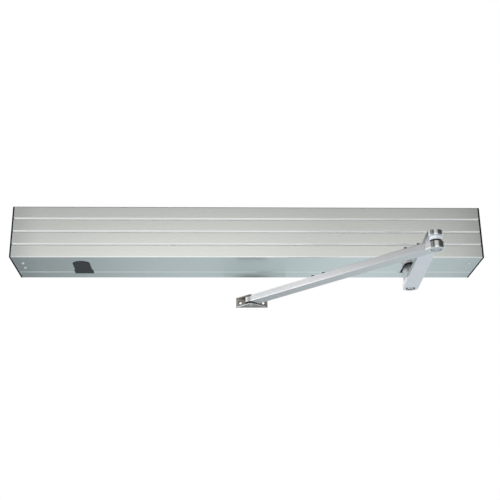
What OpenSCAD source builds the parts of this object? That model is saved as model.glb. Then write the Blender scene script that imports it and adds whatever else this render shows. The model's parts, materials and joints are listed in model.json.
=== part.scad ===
/* [Case] */
// Length over the two end caps
case_length = 990; // [960:1:1100]
// Height of the case
case_height = 114; // [112:1:130]
// Depth of the case, from the wall to its front
case_depth = 130; // [126:1:150]
// Wall of the cover's top and underside
cover_wall = 2; // [1.6:0.1:2.6]
// Wall of the cover's front, which holds the grooves
cover_front_wall = 3.6; // [3.2:0.1:5]
// Radius of the cover's two front edges
front_edge_radius = 2.2; // [1:0.1:4]
// Width of each groove in the front
groove_width = 5; // [3:0.1:7]
// Depth of each groove in the front
groove_depth = 2; // [1:0.1:2.4]
// Number of grooves, spaced evenly over the height
groove_count = 3; // [1:1:5]
// Thickness of the back plate's upright
back_plate_thickness = 4; // [3:0.1:6]
// How far the back plate's flanges reach from the wall
flange_depth = 38; // [34:0.5:44]
// Thickness of the flanges
flange_thickness = 3; // [2:0.1:4]
// Chamfer on the front edge of each flange
flange_chamfer = 2.2; // [0.6:0.1:2.6]
// How far the cover's lip reaches behind the flange
lip_overlap = 12; // [6:0.5:16]
// Thickness of each end cap
end_cap_thickness = 3.2; // [2:0.1:5]
// Distance of the cover screws from the case's ends
cover_screw_inset = 21.8; // [18:0.1:26]
// Radius of the cover screws' heads
cover_screw_head_radius = 2.6; // [2.2:0.1:3.4]

/* [Spindle openings] */
// Distance of the spindle's axis from the case's end
spindle_from_end = 143; // [142:0.5:170]
// Distance of the spindle's axis from the wall
spindle_from_wall = 50; // [48:0.5:54]
// Width of the openings in the underside
opening_width = 36; // [33:0.5:39]
// Radius of the openings' curved front edge
opening_front_radius = 20; // [19.6:0.1:24]
// Distance from the spindle's axis to the openings' front edge
opening_reach = 54.3; // [50:0.1:60]
// Width of the lip at the back of the plug
plug_lip_width = 40; // [39.4:0.5:46]
// Thickness of the plug's lip, which lies on the underside
plug_lip_thickness = 1.2; // [0.8:0.1:2]

/* [Wall fixing] */
// Distance of the end wall holes from the case's ends
wall_hole_inset = 40; // [38:0.5:42]
// Height between the upper and the lower wall holes
wall_hole_spacing = 90; // [88:0.5:92]
// Radius of the wall holes
wall_hole_radius = 3.25; // [2.5:0.05:4]
// Radius of the hole in the cable grommet
cable_hole_radius = 8; // [5:0.1:9.5]

/* [Gears] */
// Module of the slow gears: the output gear and the countershaft pinion
slow_module = 1.5; // [1.4:0.01:1.52]
// Teeth of the output gear on the spindle
output_teeth = 54; // [50:1:54]
// Teeth of the countershaft pinion and of the motor pinion
pinion_teeth = 18; // [17:1:19]
// Module of the fast gears: the intermediate gear and the motor pinion
fast_module = 1; // [0.9:0.01:1.02]
// Teeth of the intermediate gear on the countershaft
intermediate_teeth = 54; // [50:1:56]
// Module of the spindle's rack pinion and of the rack
rack_module = 1.5; // [1.4:0.01:1.55]
// Play between meshing teeth
backlash = 0.12; // [0.1:0.01:0.2]
// Radius of the spindle
spindle_radius = 10; // [8:0.1:11]
// Radius of the countershaft
countershaft_radius = 5; // [4:0.1:6]
// Radius of the motor shaft
motor_shaft_radius = 4; // [3:0.1:4.5]

/* [Motor and spring] */
// Radius of the motor
motor_radius = 29; // [24:0.5:30]
// Height of the motor's housing
motor_height = 38; // [34:0.5:39]
// Outer radius of the spring housing
spring_housing_radius = 22; // [21:0.5:24]
// Wall of the spring housing
spring_housing_wall = 3; // [2:0.1:3.5]
// Length of the closing spring with the door shut
spring_length = 64; // [60:0.5:66]
// Radius of the spring's coil, at the middle of its wire
spring_coil_radius = 14; // [12:0.1:15]
// Radius of the spring's wire
spring_wire_radius = 2; // [1.2:0.1:2.2]
// Turns of the spring
spring_turns = 7; // [5:1:8]

/* [Main arm] */
// Distance between the arm's two pivots
arm_length = 307; // [280:1:330]
// Thickness of the arm
arm_thickness = 9.5; // [9.2:0.1:12]
// Radius of the arm's hub end
arm_hub_radius = 16.5; // [15.5:0.1:20]
// Radius of the arm's elbow end
arm_elbow_radius = 14.6; // [13:0.1:16]
// Angle of the arm in plan, from the case's length
arm_angle = -92.9; // [-100:0.1:-80]
// Radius of the spindle extension
extension_radius = 14.5; // [13.5:0.1:15]
// How far the extension comes down from the case's underside
extension_drop = 32.5; // [26:0.5:45]

/* [Rod and shoe] */
// Distance between the rod's two pivots at its shortest setting
rod_length = 470; // [455:1:500]
// Width of the rod tube
rod_width = 26; // [24:0.5:30]
// Height of the rod tube
rod_height = 14.5; // [13:0.5:18]
// Wall of the rod tube
rod_wall = 2; // [1.4:0.1:2.6]
// How far the sliding bar reaches into the tube
bar_insertion = 270; // [265:1:300]
// Radius of the rod end's eye at the elbow
elbow_eye_radius = 15.6; // [14:0.1:17]
// Radius of the pale washer at the elbow
elbow_washer_radius = 11.6; // [10:0.1:13]
// Thickness of the pale washer at the elbow
elbow_washer_thickness = 7.8; // [5:0.1:9]
// Thickness of the black ring at the elbow
elbow_ring_thickness = 4.8; // [3:0.1:6]
// Radius of the eye at the shoe end
shoe_eye_radius = 12.5; // [11:0.1:13]
// Distance of the shoe's pivot from the wall plane
shoe_pivot_from_wall = 20.7; // [20:0.1:26]
// Width of the shoe's plate
shoe_width = 68.5; // [64:0.5:90]
// Height of the shoe's plate
shoe_height = 22; // [20:0.5:28]
// Thickness of the shoe's plate and upper tongue
shoe_thickness = 3; // [2.5:0.1:3.4]
// Distance between the shoe's two screw holes
shoe_hole_spacing = 50; // [46:0.5:56]
// Radius of the shoe's screw holes
shoe_hole_radius = 2.75; // [2:0.05:3.2]

/* [Hidden] */
$fn = 48;

// Play of a turning or sliding fit
running_clearance = 0.05;
// Gap of a pressed fit
press_play = 0.02;
// Gap between parts that are screwed or pushed together
fit_clearance = 0.1;
// Air between parts that pass each other
air = 0.4;

// Case
half_length = case_length / 2;
half_height = case_height / 2;
inner_front = -case_depth + cover_front_wall;
cover_end = half_length - end_cap_thickness;
groove_pitch = case_height / (groove_count + 1);
lip_top = half_height - flange_thickness - 0.3;
cover_back = -flange_depth - 0.4;
lip_back = -flange_depth + lip_overlap;
plate_face = -back_plate_thickness;
cover_screw_y = [-92.3, -64.4];
cover_screw_radius = 1.75;
cap_tab_length = 26;
cap_tab_thickness = 3;
cap_tab_front = -102;
cap_tab_back = -56;
cap_foot_length = 16;
cap_foot_bottom = -half_height + flange_thickness + 4;
cap_foot_height = 30;
cap_foot_thickness = 5;
cap_screw_places_z = [cap_foot_bottom + 7, cap_foot_bottom + 23];

// Spindle and gears
spindle_x = half_length - spindle_from_end;
spindle_y = -spindle_from_wall;
plug_x = -spindle_x;
slow_centres = (output_teeth + pinion_teeth) * slow_module / 2;
fast_centres = (intermediate_teeth + pinion_teeth) * fast_module / 2;
countershaft_x = spindle_x - slow_centres;
motor_x = countershaft_x - fast_centres;
output_tip = output_teeth * slow_module / 2 + slow_module;
intermediate_tip = intermediate_teeth * fast_module / 2 + fast_module;
rack_pinion_radius = pinion_teeth * rack_module / 2;
gearbox_wall = 3;
gearbox_floor = 6;
gearbox_bottom = -half_height + cover_wall + 7;
gearbox_depth = 44;
gearbox_top = gearbox_bottom + gearbox_depth;
gearbox_cover_thickness = 4;
cover_plate_top = gearbox_top + gearbox_cover_thickness;
gearbox_left = motor_x - 34;
gearbox_right = spindle_x + output_tip + 8;
gearbox_front = spindle_y - output_tip - 1.5 - gearbox_wall;
slow_gear_z = gearbox_bottom + 12;
slow_gear_face = 16;
fast_gear_z = slow_gear_z + slow_gear_face + 3;
fast_gear_face = 8;
bearing_radius = 18.5;
bearing_width = 9;
lower_bearing_z = gearbox_bottom + 1;
rack_z = cover_plate_top + 8;
rack_face = 16;
rack_mid_z = rack_z + rack_face / 2;
bridge_z = rack_z + rack_face + 10;
upper_bearing_z = bridge_z;
bridge_wall = 5;
bridge_foot_half = 34;
bridge_foot_thickness = 6;
bridge_screw_spread = 28;
spindle_top = upper_bearing_z + bearing_width + 2;
spindle_shoulder = 13;
corner_boss = 5.5;
boss_inset = gearbox_wall + 3;
lug_length = 14;
lug_thickness = 5;
lug_z = gearbox_bottom + 4;
lug_height = 20;
bush_wall = 4;
m5 = 2.5;
m4 = 2;
m3 = 1.5;

// Rack, plunger and closing spring
rack_back = spindle_y + rack_pinion_radius + 10.5;
rack_rod_radius = 5;
rack_rod_y = rack_back - rack_rod_radius;
rack_left = spindle_x - 46;
rack_right = spindle_x + 14;
spring_front = gearbox_right + 0.6;
spring_flange = 6;
spring_flange_front = rack_rod_y - spring_housing_radius - 3;
spring_bore = spring_housing_radius - spring_housing_wall;
plunger_x = spring_front + 4;
plunger_head = 6;
spring_start = plunger_x + plunger_head;
spring_end = spring_start + spring_length;
adjuster_length = 6;
spring_tube_end = spring_end + adjuster_length;
guide_foot_top = rack_z - 0.2;
spring_foot_z = cover_plate_top + 5;
spring_ring_sides = 8;
spring_rings_per_turn = 20;

// Motor
motor_pilot = 12;
motor_flange_radius = motor_radius + 7;
motor_screw_places = [for (a = [45 : 90 : 315])
    [motor_x + (motor_radius + 3.4) * cos(a), spindle_y + (motor_radius + 3.4) * sin(a)]];
end_bell_height = 6;
motor_socket_y = spindle_y - 20;
motor_socket_z = cover_plate_top + motor_height + end_bell_height + 3.2;

// Main arm, rod and shoe
underside = -half_height;
arm_top = underside - extension_drop;
arm_bottom = arm_top - arm_thickness;
extension_top = gearbox_bottom - 1;
arm_screw_radius = 4;
spigot_radius = 9.5;
spigot_length = 4;
recess_radius = 9.8;
recess_depth = 4.5;
elbow_x = spindle_x + arm_length * cos(arm_angle);
elbow_y = spindle_y + arm_length * sin(arm_angle);
rod_angle = 180 - asin((-shoe_pivot_from_wall - elbow_y) / rod_length);
shoe_x = elbow_x + rod_length * cos(rod_angle);
shoe_y = -shoe_pivot_from_wall;
washer_top = arm_bottom - fit_clearance;
washer_bottom = washer_top - elbow_washer_thickness;
ring_bottom = washer_bottom - elbow_ring_thickness;
elbow_eye_top = ring_bottom - 0.5;
rod_top = elbow_eye_top + 3;
rod_bottom = rod_top - rod_height;
elbow_eye_bottom = rod_bottom - 0.8;
elbow_eye_height = elbow_eye_top - elbow_eye_bottom;
rod_mid_z = (rod_top + rod_bottom) / 2;
elbow_pin_radius = 6;
elbow_head_radius = 9;
elbow_recess_depth = 4;
tube_start = elbow_eye_radius + 0.4;
tube_end = rod_length - shoe_eye_radius - 0.3;
tube_inner_width = rod_width - 2 * rod_wall;
tube_inner_height = rod_height - 2 * rod_wall;
rod_end_shank = 60;
rod_edge = 1;
set_screw_foot = rod_mid_z + (rod_height / 2 - rod_wall - fit_clearance) + fit_clearance / 2;
set_screw_places = [37.5, 66.5];
clamp_screw_places = [266.5, 295];
set_screw_radius = 3;
set_screw_stand = 6.5;
bar_width = tube_inner_width - 2 * fit_clearance;
bar_height = tube_inner_height - 2 * fit_clearance;
bar_start = rod_length - shoe_eye_radius - bar_insertion;
shoe_eye_height = 11;
shoe_eye_top = rod_mid_z + shoe_eye_height / 2;
shoe_pin_radius = 4.5;
shoe_tongue_bottom = shoe_eye_top + 3.2;
shoe_tongue_top = shoe_tongue_bottom + shoe_thickness;
shoe_bottom = shoe_tongue_top - shoe_height;
shoe_lower_thickness = 2;
spacer_gap = 0.1;
shoe_centre_x = shoe_x + 2.6;
shoe_tip_radius = 8;
shoe_hole_z = shoe_bottom + 10;
shoe_countersink = 2;

// Electrical parts
cable_entry_x = -half_length + 75;
grommet_flange_radius = 14;
grommet_bore = 10.2;
mains_terminal_x = cable_entry_x + 30;
mains_terminal_length = 42;
supply_x = mains_terminal_x + mains_terminal_length + 28;
supply_length = 165;
supply_depth = 50;
supply_height = 92;
supply_sheet = 1.2;
supply_foot = 14;
relay_size = [16, 15, 20];
relay_pitch = 20;
board_capacitor_radius = 9;
board_capacitor_length = 28;
tray_x = supply_x + supply_length + 24;
tray_length = 210;
tray_height = 92;
tray_base = 3;
tray_rim = 12;
board_y = plate_face - tray_base - 9;
board_thickness = 1.6;
board_front = board_y - board_thickness;
middle_hole_x = tray_x + tray_length + 30;
wall_hole_x = half_length - wall_hole_inset;
cable_radius = 3;
mains_cable_radius = 2.9;
// Cables run past the board's lower edge, clear of its screws
cable_run_z = -tray_height / 2 + 3;
cable_run_y = board_front - 7;
terminal_underside = -tray_height / 2 + 6;
terminal_pitch = 30;
first_terminal_x = tray_x + 22;
supply_wire_x = first_terminal_x + 12;
motor_wire_x = first_terminal_x + 4 * terminal_pitch + 14;
motor_wire_turn_x = gearbox_left - 8;

// Points of an arc about a centre
function arc(cx, cy, r, from, to, steps) =
    [for (i = [0 : steps]) let (a = from + (to - from) * i / steps) [cx + r * cos(a), cy + r * sin(a)]];

// Rounded front edge of the case's section, upper or lower
function front_edge(side, from, to) =
    arc(-case_depth + front_edge_radius, side * (half_height - front_edge_radius),
        front_edge_radius, from, to, 6);

// Involute in degrees of a pressure angle
function involute(a) = tan(a) * 180 / PI - a;

// Half angle of a tooth at radius r
function tooth_half(teeth, m, r) =
    let (pitch = teeth * m / 2, base = pitch * cos(20), a = acos(min(1, base / r)))
    90 / teeth - backlash / (2 * pitch) * 180 / PI + involute(20) - involute(a);

// Outline of a spur gear with involute teeth, tooth 0 centred on phase
function gear_points(teeth, m, phase) =
    let (
        pitch = teeth * m / 2,
        root = pitch - 1.25 * m,
        start = max(root, pitch * cos(20)),
        tip = pitch + m,
        radii = [for (i = [0 : 4]) start + (tip - start) * i / 4]
    )
    [for (tooth = [0 : teeth - 1])
        let (middle = phase + tooth * 360 / teeth)
        for (p = concat(
            [[root, middle - tooth_half(teeth, m, start)]],
            [for (r = radii) [r, middle - tooth_half(teeth, m, r)]],
            [for (i = [4 : -1 : 0]) [radii[i], middle + tooth_half(teeth, m, radii[i])]],
            [[root, middle + tooth_half(teeth, m, start)]]))
        [p[0] * cos(p[1]), p[0] * sin(p[1])]];

module gear(teeth, m, phase, face) {
    linear_extrude(face) polygon(gear_points(teeth, m, phase));
}

// A ring standing on the XY plane
module ring(outer, inner, height) {
    difference() {
        cylinder(r = outer, h = height);
        translate([0, 0, -1]) cylinder(r = inner, h = height + 2);
    }
}

// Extrudes a shape drawn in Y and Z along the case
module along_case(from, length) {
    translate([from, 0, 0]) rotate([90, 0, 90]) linear_extrude(length) children();
}

// Places something drawn upright so that its foot is at a point and its top points away from the wall
module off_wall(x, y, z) {
    translate([x, y, z]) rotate([90, 0, 0]) children();
}

// A socket cap screw standing on its head seat: the head is above, the shank below
module cap_screw(radius, shank) {
    head = radius * 1.75;
    difference() {
        cylinder(r = head, h = radius * 2);
        translate([0, 0, radius]) cylinder(r = radius * 0.9, h = radius * 2, $fn = 6);
    }
    translate([0, 0, -shank]) cylinder(r = radius, h = shank + 0.01);
}

// A low pan-head screw with a cross recess, head above and shank below
module pan_screw(head, radius, shank) {
    difference() {
        rotate_extrude()
            polygon([[0, 0], [head, 0], [head, head * 0.35], [head * 0.7, head * 0.7], [0, head * 0.8]]);
        for (turn = [0, 90])
            rotate([0, 0, turn]) translate([-head * 0.55, -head * 0.11, head * 0.35])
                cube([head * 1.1, head * 0.22, head]);
    }
    translate([0, 0, -shank]) cylinder(r = radius, h = shank + 0.01);
}

// A ball bearing standing on the XY plane
module ball_bearing(outer, inner, width) {
    ball = (outer - inner) * 0.24;
    track = (outer + inner) / 2;
    difference() {
        ring(outer, track + ball * 0.55, width);
        translate([0, 0, width / 2]) rotate_extrude() translate([track, 0]) circle(r = ball + 0.03);
    }
    difference() {
        ring(track - ball * 0.55, inner, width);
        translate([0, 0, width / 2]) rotate_extrude() translate([track, 0]) circle(r = ball + 0.03);
    }
    for (i = [0 : 9])
        rotate([0, 0, i * 36]) translate([track, 0, width / 2]) sphere(r = ball);
}

// A round cable through a list of points
module cable(points, radius) {
    for (i = [0 : len(points) - 2]) {
        run = points[i + 1] - points[i];
        translate(points[i])
            rotate([0, acos(run[2] / norm(run)), atan2(run[1], run[0])])
            cylinder(r = radius, h = norm(run));
    }
    for (i = [1 : len(points) - 2])
        translate(points[i]) sphere(r = radius);
}

// Outline in plan of an opening in the underside, centred on its spindle axis
module opening_outline(width, reach, back) {
    intersection() {
        translate([-width / 2, -reach]) square([width, reach + back]);
        union() {
            translate([0, -reach + opening_front_radius]) circle(r = opening_front_radius);
            translate([-width, -reach + opening_front_radius]) square([2 * width, reach + back]);
        }
    }
}

module spindle_opening(x) {
    translate([x, spindle_y, underside - 1])
        linear_extrude(flange_thickness + cover_wall + 6)
        opening_outline(opening_width, opening_reach, opening_width / 2);
}

// Screw holes of the parts fixed to the back plate, as points in X and Z
gearbox_screw_places = [for (x = [gearbox_left - lug_length / 2, gearbox_right + lug_length / 2],
                             z = [lug_z + 5, lug_z + lug_height - 5]) [x, z]];
bridge_screw_places = [for (side = [-1, 1]) [spindle_x + side * bridge_screw_spread, bridge_z + 8]];
guide_screw_places = [for (x = [-14, 16]) [spindle_x + x, cover_plate_top + 4]];
spring_screw_places = [[spring_front - spring_flange - 5, spring_foot_z + 6],
                       [spring_front - spring_flange - 5, rack_mid_z + 22],
                       [spring_tube_end - 7, rack_mid_z - 26], [spring_tube_end - 7, rack_mid_z + 26]];
cap_screw_places = [for (x = [-1, 1], z = cap_screw_places_z) [x * (cover_end - cap_foot_length / 2), z]];
tray_screw_places = [for (x = [10, tray_length - 10], z = [-1, 1]) [tray_x + x, z * (tray_height / 2 - 8)]];
supply_screw_places = [for (x = [-supply_foot / 2, supply_length + supply_foot / 2]) [supply_x + x, 0]];
earth_place = [cable_entry_x + 20, -32];

module back_plate() color("silver") difference() {
    along_case(-cover_end, 2 * cover_end) difference() {
        polygon(concat(
            [[0, -half_height], [0, half_height]],
            [[-flange_depth + flange_chamfer, half_height], [-flange_depth, half_height - flange_chamfer]],
            [[-flange_depth, -half_height + flange_chamfer],
             [-flange_depth + flange_chamfer, -half_height]]));
        translate([-flange_depth - 1, -half_height + flange_thickness])
            square([flange_depth + 1 - back_plate_thickness, case_height - 2 * flange_thickness]);
    }
    for (x = [spindle_x, plug_x]) spindle_opening(x);
    for (x = [-wall_hole_x, wall_hole_x, middle_hole_x], z = [-1, 1])
        off_wall(x, 1, z * wall_hole_spacing / 2)
            cylinder(r = wall_hole_radius, h = back_plate_thickness + 2);
    off_wall(cable_entry_x, 1, 0) cylinder(r = grommet_bore, h = back_plate_thickness + 2);
    for (p = concat(gearbox_screw_places, bridge_screw_places, spring_screw_places))
        off_wall(p[0], 1, p[1]) cylinder(r = m5 + press_play, h = back_plate_thickness + 2);
    for (p = concat(guide_screw_places, cap_screw_places, tray_screw_places, supply_screw_places,
                    [earth_place]))
        off_wall(p[0], 1, p[1]) cylinder(r = m4 + press_play, h = back_plate_thickness + 2);
}

// Inside of the cover's upper half in Y and Z, with the lip that hooks behind the flange
cover_hook = [[cover_back, half_height], [cover_back, lip_top], [lip_back, lip_top],
              [lip_back, lip_top - cover_wall], [cover_back - cover_wall, lip_top - cover_wall],
              [cover_back - cover_wall, half_height - cover_wall],
              [inner_front, half_height - cover_wall]];

module front_cover() color([0.78, 0.8, 0.79]) difference() {
    along_case(-cover_end, 2 * cover_end) difference() {
        polygon(concat(
            cover_hook,
            [for (i = [len(cover_hook) - 1 : -1 : 0]) [cover_hook[i][0], -cover_hook[i][1]]],
            front_edge(-1, 270, 180),
            front_edge(1, 180, 90)));
        for (i = [1 : groove_count])
            translate([-case_depth, -half_height + i * groove_pitch])
                polygon([[-1, -groove_width / 2 * 1.4], [0, -groove_width / 2], [groove_depth, 0],
                         [0, groove_width / 2], [-1, groove_width / 2 * 1.4]]);
    }
    for (x = [spindle_x, plug_x]) spindle_opening(x);
    for (side = [-1, 1], y = cover_screw_y)
        translate([side * (half_length - cover_screw_inset), y, underside - 1])
            cylinder(r = cover_screw_radius + fit_clearance, h = cover_wall + 2);
}

// One end cap, drawn for the right end
module end_cap() {
    difference() {
        union() {
            along_case(cover_end, end_cap_thickness)
                polygon(concat(
                    [[0, -half_height], [0, half_height]],
                    front_edge(1, 90, 180),
                    front_edge(-1, 180, 270)));
            translate([cover_end - cap_tab_length, cap_tab_front, underside + cover_wall])
                cube([cap_tab_length + 0.01, cap_tab_back - cap_tab_front, cap_tab_thickness]);
            translate([cover_end - cap_foot_length, plate_face - cap_foot_thickness, cap_foot_bottom])
                cube([cap_foot_length + 0.01, cap_foot_thickness, cap_foot_height]);
        }
        for (y = cover_screw_y)
            translate([half_length - cover_screw_inset, y, underside])
                cylinder(r = cover_screw_radius + press_play, h = cover_wall + cap_tab_thickness + 1);
        for (z = cap_screw_places_z)
            off_wall(cover_end - cap_foot_length / 2, plate_face + 1, z)
                cylinder(r = m4 + fit_clearance, h = cap_foot_thickness + 2);
    }
}

module end_cap_right() color([0.35, 0.36, 0.37]) end_cap();
module end_cap_left() color([0.2, 0.2, 0.21]) mirror([1, 0, 0]) end_cap();

module cover_screws() color("gray")
    for (side = [-1, 1], y = cover_screw_y)
        translate([side * (half_length - cover_screw_inset), y, underside]) mirror([0, 0, 1])
            pan_screw(cover_screw_head_radius, cover_screw_radius, cover_wall + cap_tab_thickness + 2);

module end_cap_screws() color("gray")
    for (p = cap_screw_places)
        off_wall(p[0], plate_face - cap_foot_thickness, p[1])
            cap_screw(m4, cap_foot_thickness + back_plate_thickness - 0.4);

// Plug of the unused opening: a body in the opening, a lip under the joint and two clip legs
module spindle_opening_plug() color([0.2, 0.22, 0.23]) {
    body_width = opening_width - 2 * fit_clearance - 0.4;
    body_reach = opening_reach - 0.3;
    lip_front = 0.2;
    translate([plug_x, spindle_y, underside - plug_lip_thickness]) {
        linear_extrude(plug_lip_thickness + cover_wall + 0.5)
            opening_outline(body_width, body_reach, opening_width / 2 - 0.3);
        translate([-plug_lip_width / 2, lip_front, 0])
            cube([plug_lip_width, opening_width / 2 + 1 - lip_front, plug_lip_thickness]);
    }
    for (side = [-1, 1])
        translate([plug_x + side * (body_width / 2 - 1.2), spindle_y - 26, underside + cover_wall]) {
            translate([-1.2, 0, 0]) cube([2.4, 12, 6]);
            translate([side > 0 ? 0 : -2.2, 0, 0.9]) cube([2.2, 12, 1.6]);
        }
}

// Centres of the screws that hold the gearbox cover
cover_bolt_places = [for (x = [gearbox_left + boss_inset, gearbox_right - boss_inset],
                          y = [gearbox_front + boss_inset, plate_face - boss_inset]) [x, y]];

module gearbox_housing() color([0.6, 0.62, 0.63]) difference() {
    union() {
        difference() {
            translate([gearbox_left, gearbox_front, gearbox_bottom])
                cube([gearbox_right - gearbox_left, plate_face - gearbox_front, gearbox_depth]);
            translate([gearbox_left + gearbox_wall, gearbox_front + gearbox_wall,
                       gearbox_bottom + gearbox_floor])
                cube([gearbox_right - gearbox_left - 2 * gearbox_wall,
                      plate_face - gearbox_front - 2 * gearbox_wall, gearbox_depth]);
        }
        for (p = cover_bolt_places)
            translate([p[0], p[1], gearbox_bottom + 1]) cylinder(r = corner_boss, h = gearbox_depth - 1);
        translate([spindle_x, spindle_y, gearbox_bottom + 1])
            cylinder(r = bearing_radius + 4, h = lower_bearing_z + bearing_width - gearbox_bottom - 1);
        for (x = [gearbox_left - lug_length, gearbox_right - 1])
            translate([x, plate_face - lug_thickness, lug_z])
                cube([lug_length + 1, lug_thickness, lug_height]);
    }
    translate([spindle_x, spindle_y, lower_bearing_z])
        cylinder(r = bearing_radius + press_play, h = bearing_width + 1);
    translate([spindle_x, spindle_y, gearbox_bottom - 1]) cylinder(r = spindle_shoulder + air, h = 4);
    translate([countershaft_x, spindle_y, gearbox_bottom + 2])
        cylinder(r = countershaft_radius + bush_wall + press_play, h = gearbox_floor);
    for (p = cover_bolt_places)
        translate([p[0], p[1], gearbox_top - 12]) cylinder(r = m4 + press_play, h = 13);
    for (p = gearbox_screw_places)
        off_wall(p[0], plate_face + 1, p[1]) cylinder(r = m5 + fit_clearance, h = lug_thickness + 2);
}

module gearbox_cover() color([0.66, 0.68, 0.69]) difference() {
    translate([gearbox_left, gearbox_front, gearbox_top])
        cube([gearbox_right - gearbox_left, plate_face - gearbox_front, gearbox_cover_thickness]);
    translate([spindle_x, spindle_y, gearbox_top - 1])
        cylinder(r = spindle_shoulder + 1, h = gearbox_cover_thickness + 2);
    translate([countershaft_x, spindle_y, gearbox_top - 1])
        cylinder(r = countershaft_radius + bush_wall + press_play, h = gearbox_cover_thickness + 2);
    translate([motor_x, spindle_y, gearbox_top - 1])
        cylinder(r = motor_pilot + 0.05, h = gearbox_cover_thickness + 2);
    for (p = cover_bolt_places)
        translate([p[0], p[1], gearbox_top - 1])
            cylinder(r = m4 + fit_clearance, h = gearbox_cover_thickness + 2);
    for (p = motor_screw_places)
        translate([p[0], p[1], gearbox_top - 1])
            cylinder(r = m3 + press_play, h = gearbox_cover_thickness + 2);
}

module gearbox_cover_screws() color("gray")
    for (p = cover_bolt_places)
        translate([p[0], p[1], cover_plate_top]) cap_screw(m4, gearbox_cover_thickness + 10);

module gearbox_mounting_screws() color("gray")
    for (p = gearbox_screw_places)
        off_wall(p[0], plate_face - lug_thickness, p[1])
            cap_screw(m5, lug_thickness + back_plate_thickness - 0.4);

// Spindle with the shoulder that its output gear stands on
module spindle() color([0.75, 0.76, 0.78]) translate([spindle_x, spindle_y, 0]) difference() {
    union() {
        translate([0, 0, extension_top - 16])
            cylinder(r = spindle_radius, h = spindle_top - extension_top + 16);
        translate([0, 0, lower_bearing_z + bearing_width + 0.1])
            cylinder(r = spindle_shoulder, h = slow_gear_z - lower_bearing_z - bearing_width - 0.1);
    }
    translate([0, 0, extension_top - 17]) cylinder(r = arm_screw_radius + press_play, h = 13);
}

module lower_spindle_bearing() color("lightgray") translate([spindle_x, spindle_y, lower_bearing_z])
    ball_bearing(bearing_radius, spindle_radius + running_clearance, bearing_width);

module upper_spindle_bearing() color("lightgray") translate([spindle_x, spindle_y, upper_bearing_z])
    ball_bearing(bearing_radius, spindle_radius + running_clearance, bearing_width);

// Bridge that carries the upper bearing over the rack, screwed to the back plate
module bearing_bridge() color([0.6, 0.62, 0.63]) difference() {
    union() {
        translate([spindle_x, spindle_y, bridge_z])
            cylinder(r = bearing_radius + bridge_wall, h = bearing_width);
        translate([spindle_x - bearing_radius - bridge_wall + 2, spindle_y, bridge_z])
            cube([2 * (bearing_radius + bridge_wall - 2), plate_face - spindle_y, bearing_width]);
        translate([spindle_x - bridge_foot_half, plate_face - bridge_foot_thickness, bridge_z])
            cube([2 * bridge_foot_half, bridge_foot_thickness, bearing_width + 7]);
    }
    translate([spindle_x, spindle_y, bridge_z - 1])
        cylinder(r = bearing_radius + press_play, h = bearing_width + 2);
    for (p = bridge_screw_places)
        off_wall(p[0], plate_face + 1, p[1])
            cylinder(r = m5 + fit_clearance, h = bridge_foot_thickness + 2);
}

module bridge_screws() color("gray")
    for (p = bridge_screw_places)
        off_wall(p[0], plate_face - bridge_foot_thickness, p[1])
            cap_screw(m5, bridge_foot_thickness + back_plate_thickness - 0.4);

module output_gear() color([0.7, 0.7, 0.72]) translate([spindle_x, spindle_y, slow_gear_z]) difference() {
    union() {
        gear(output_teeth, slow_module, 180, slow_gear_face);
        cylinder(r = spindle_shoulder + 3, h = slow_gear_face + 8);
    }
    translate([0, 0, -1]) cylinder(r = spindle_radius + press_play, h = slow_gear_face + 12);
    for (i = [0 : 5])
        rotate([0, 0, 30 + i * 60]) translate([output_tip * 0.62, 0, -1])
            cylinder(r = 6, h = slow_gear_face + 2);
}

// Countershaft with its pinion cut in one piece with it
module countershaft() color([0.72, 0.73, 0.75]) translate([countershaft_x, spindle_y, 0]) {
    translate([0, 0, gearbox_bottom + 2.3])
        cylinder(r = countershaft_radius, h = cover_plate_top - gearbox_bottom - 2.6);
    translate([0, 0, slow_gear_z]) gear(pinion_teeth, slow_module, 180 / pinion_teeth, slow_gear_face);
    translate([0, 0, slow_gear_z + slow_gear_face - 0.01])
        cylinder(r = countershaft_radius + 3, h = fast_gear_z - slow_gear_z - slow_gear_face + 0.01);
}

module intermediate_gear() color([0.85, 0.83, 0.75])
    translate([countershaft_x, spindle_y, fast_gear_z]) difference() {
    union() {
        gear(intermediate_teeth, fast_module, 180, fast_gear_face);
        cylinder(r = countershaft_radius + 5, h = fast_gear_face + 3);
    }
    translate([0, 0, -1]) cylinder(r = countershaft_radius + press_play, h = fast_gear_face + 6);
    for (i = [0 : 4])
        rotate([0, 0, 36 + i * 72]) translate([intermediate_tip * 0.62, 0, -1])
            cylinder(r = 5, h = fast_gear_face + 2);
}

module countershaft_bearings() color("lightgray") {
    translate([countershaft_x, spindle_y, gearbox_bottom + 2.02])
        ring(countershaft_radius + bush_wall, countershaft_radius + running_clearance, gearbox_floor - 2);
    translate([countershaft_x, spindle_y, gearbox_top])
        ring(countershaft_radius + bush_wall, countershaft_radius + running_clearance,
             gearbox_cover_thickness);
}

// Motor with its sealed gearhead, standing on the gearbox cover
module motor_housing() color([0.25, 0.26, 0.28]) translate([motor_x, spindle_y, 0]) difference() {
    union() {
        translate([0, 0, gearbox_top + 0.1]) cylinder(r = motor_pilot, h = gearbox_cover_thickness);
        translate([0, 0, cover_plate_top]) cylinder(r = motor_flange_radius, h = 3);
        translate([0, 0, cover_plate_top]) cylinder(r = motor_radius, h = motor_height);
    }
    for (i = [0 : 4])
        translate([0, 0, cover_plate_top + 12 + i * 5]) ring(motor_radius + 2, motor_radius - 1.2, 2.4);
    translate([0, 0, gearbox_top]) cylinder(r = motor_shaft_radius + running_clearance, h = 18);
    for (a = [45 : 90 : 315])
        rotate([0, 0, a]) translate([motor_radius + 3.4, 0, cover_plate_top - 1])
            cylinder(r = m3 + fit_clearance, h = 6);
}

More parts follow.
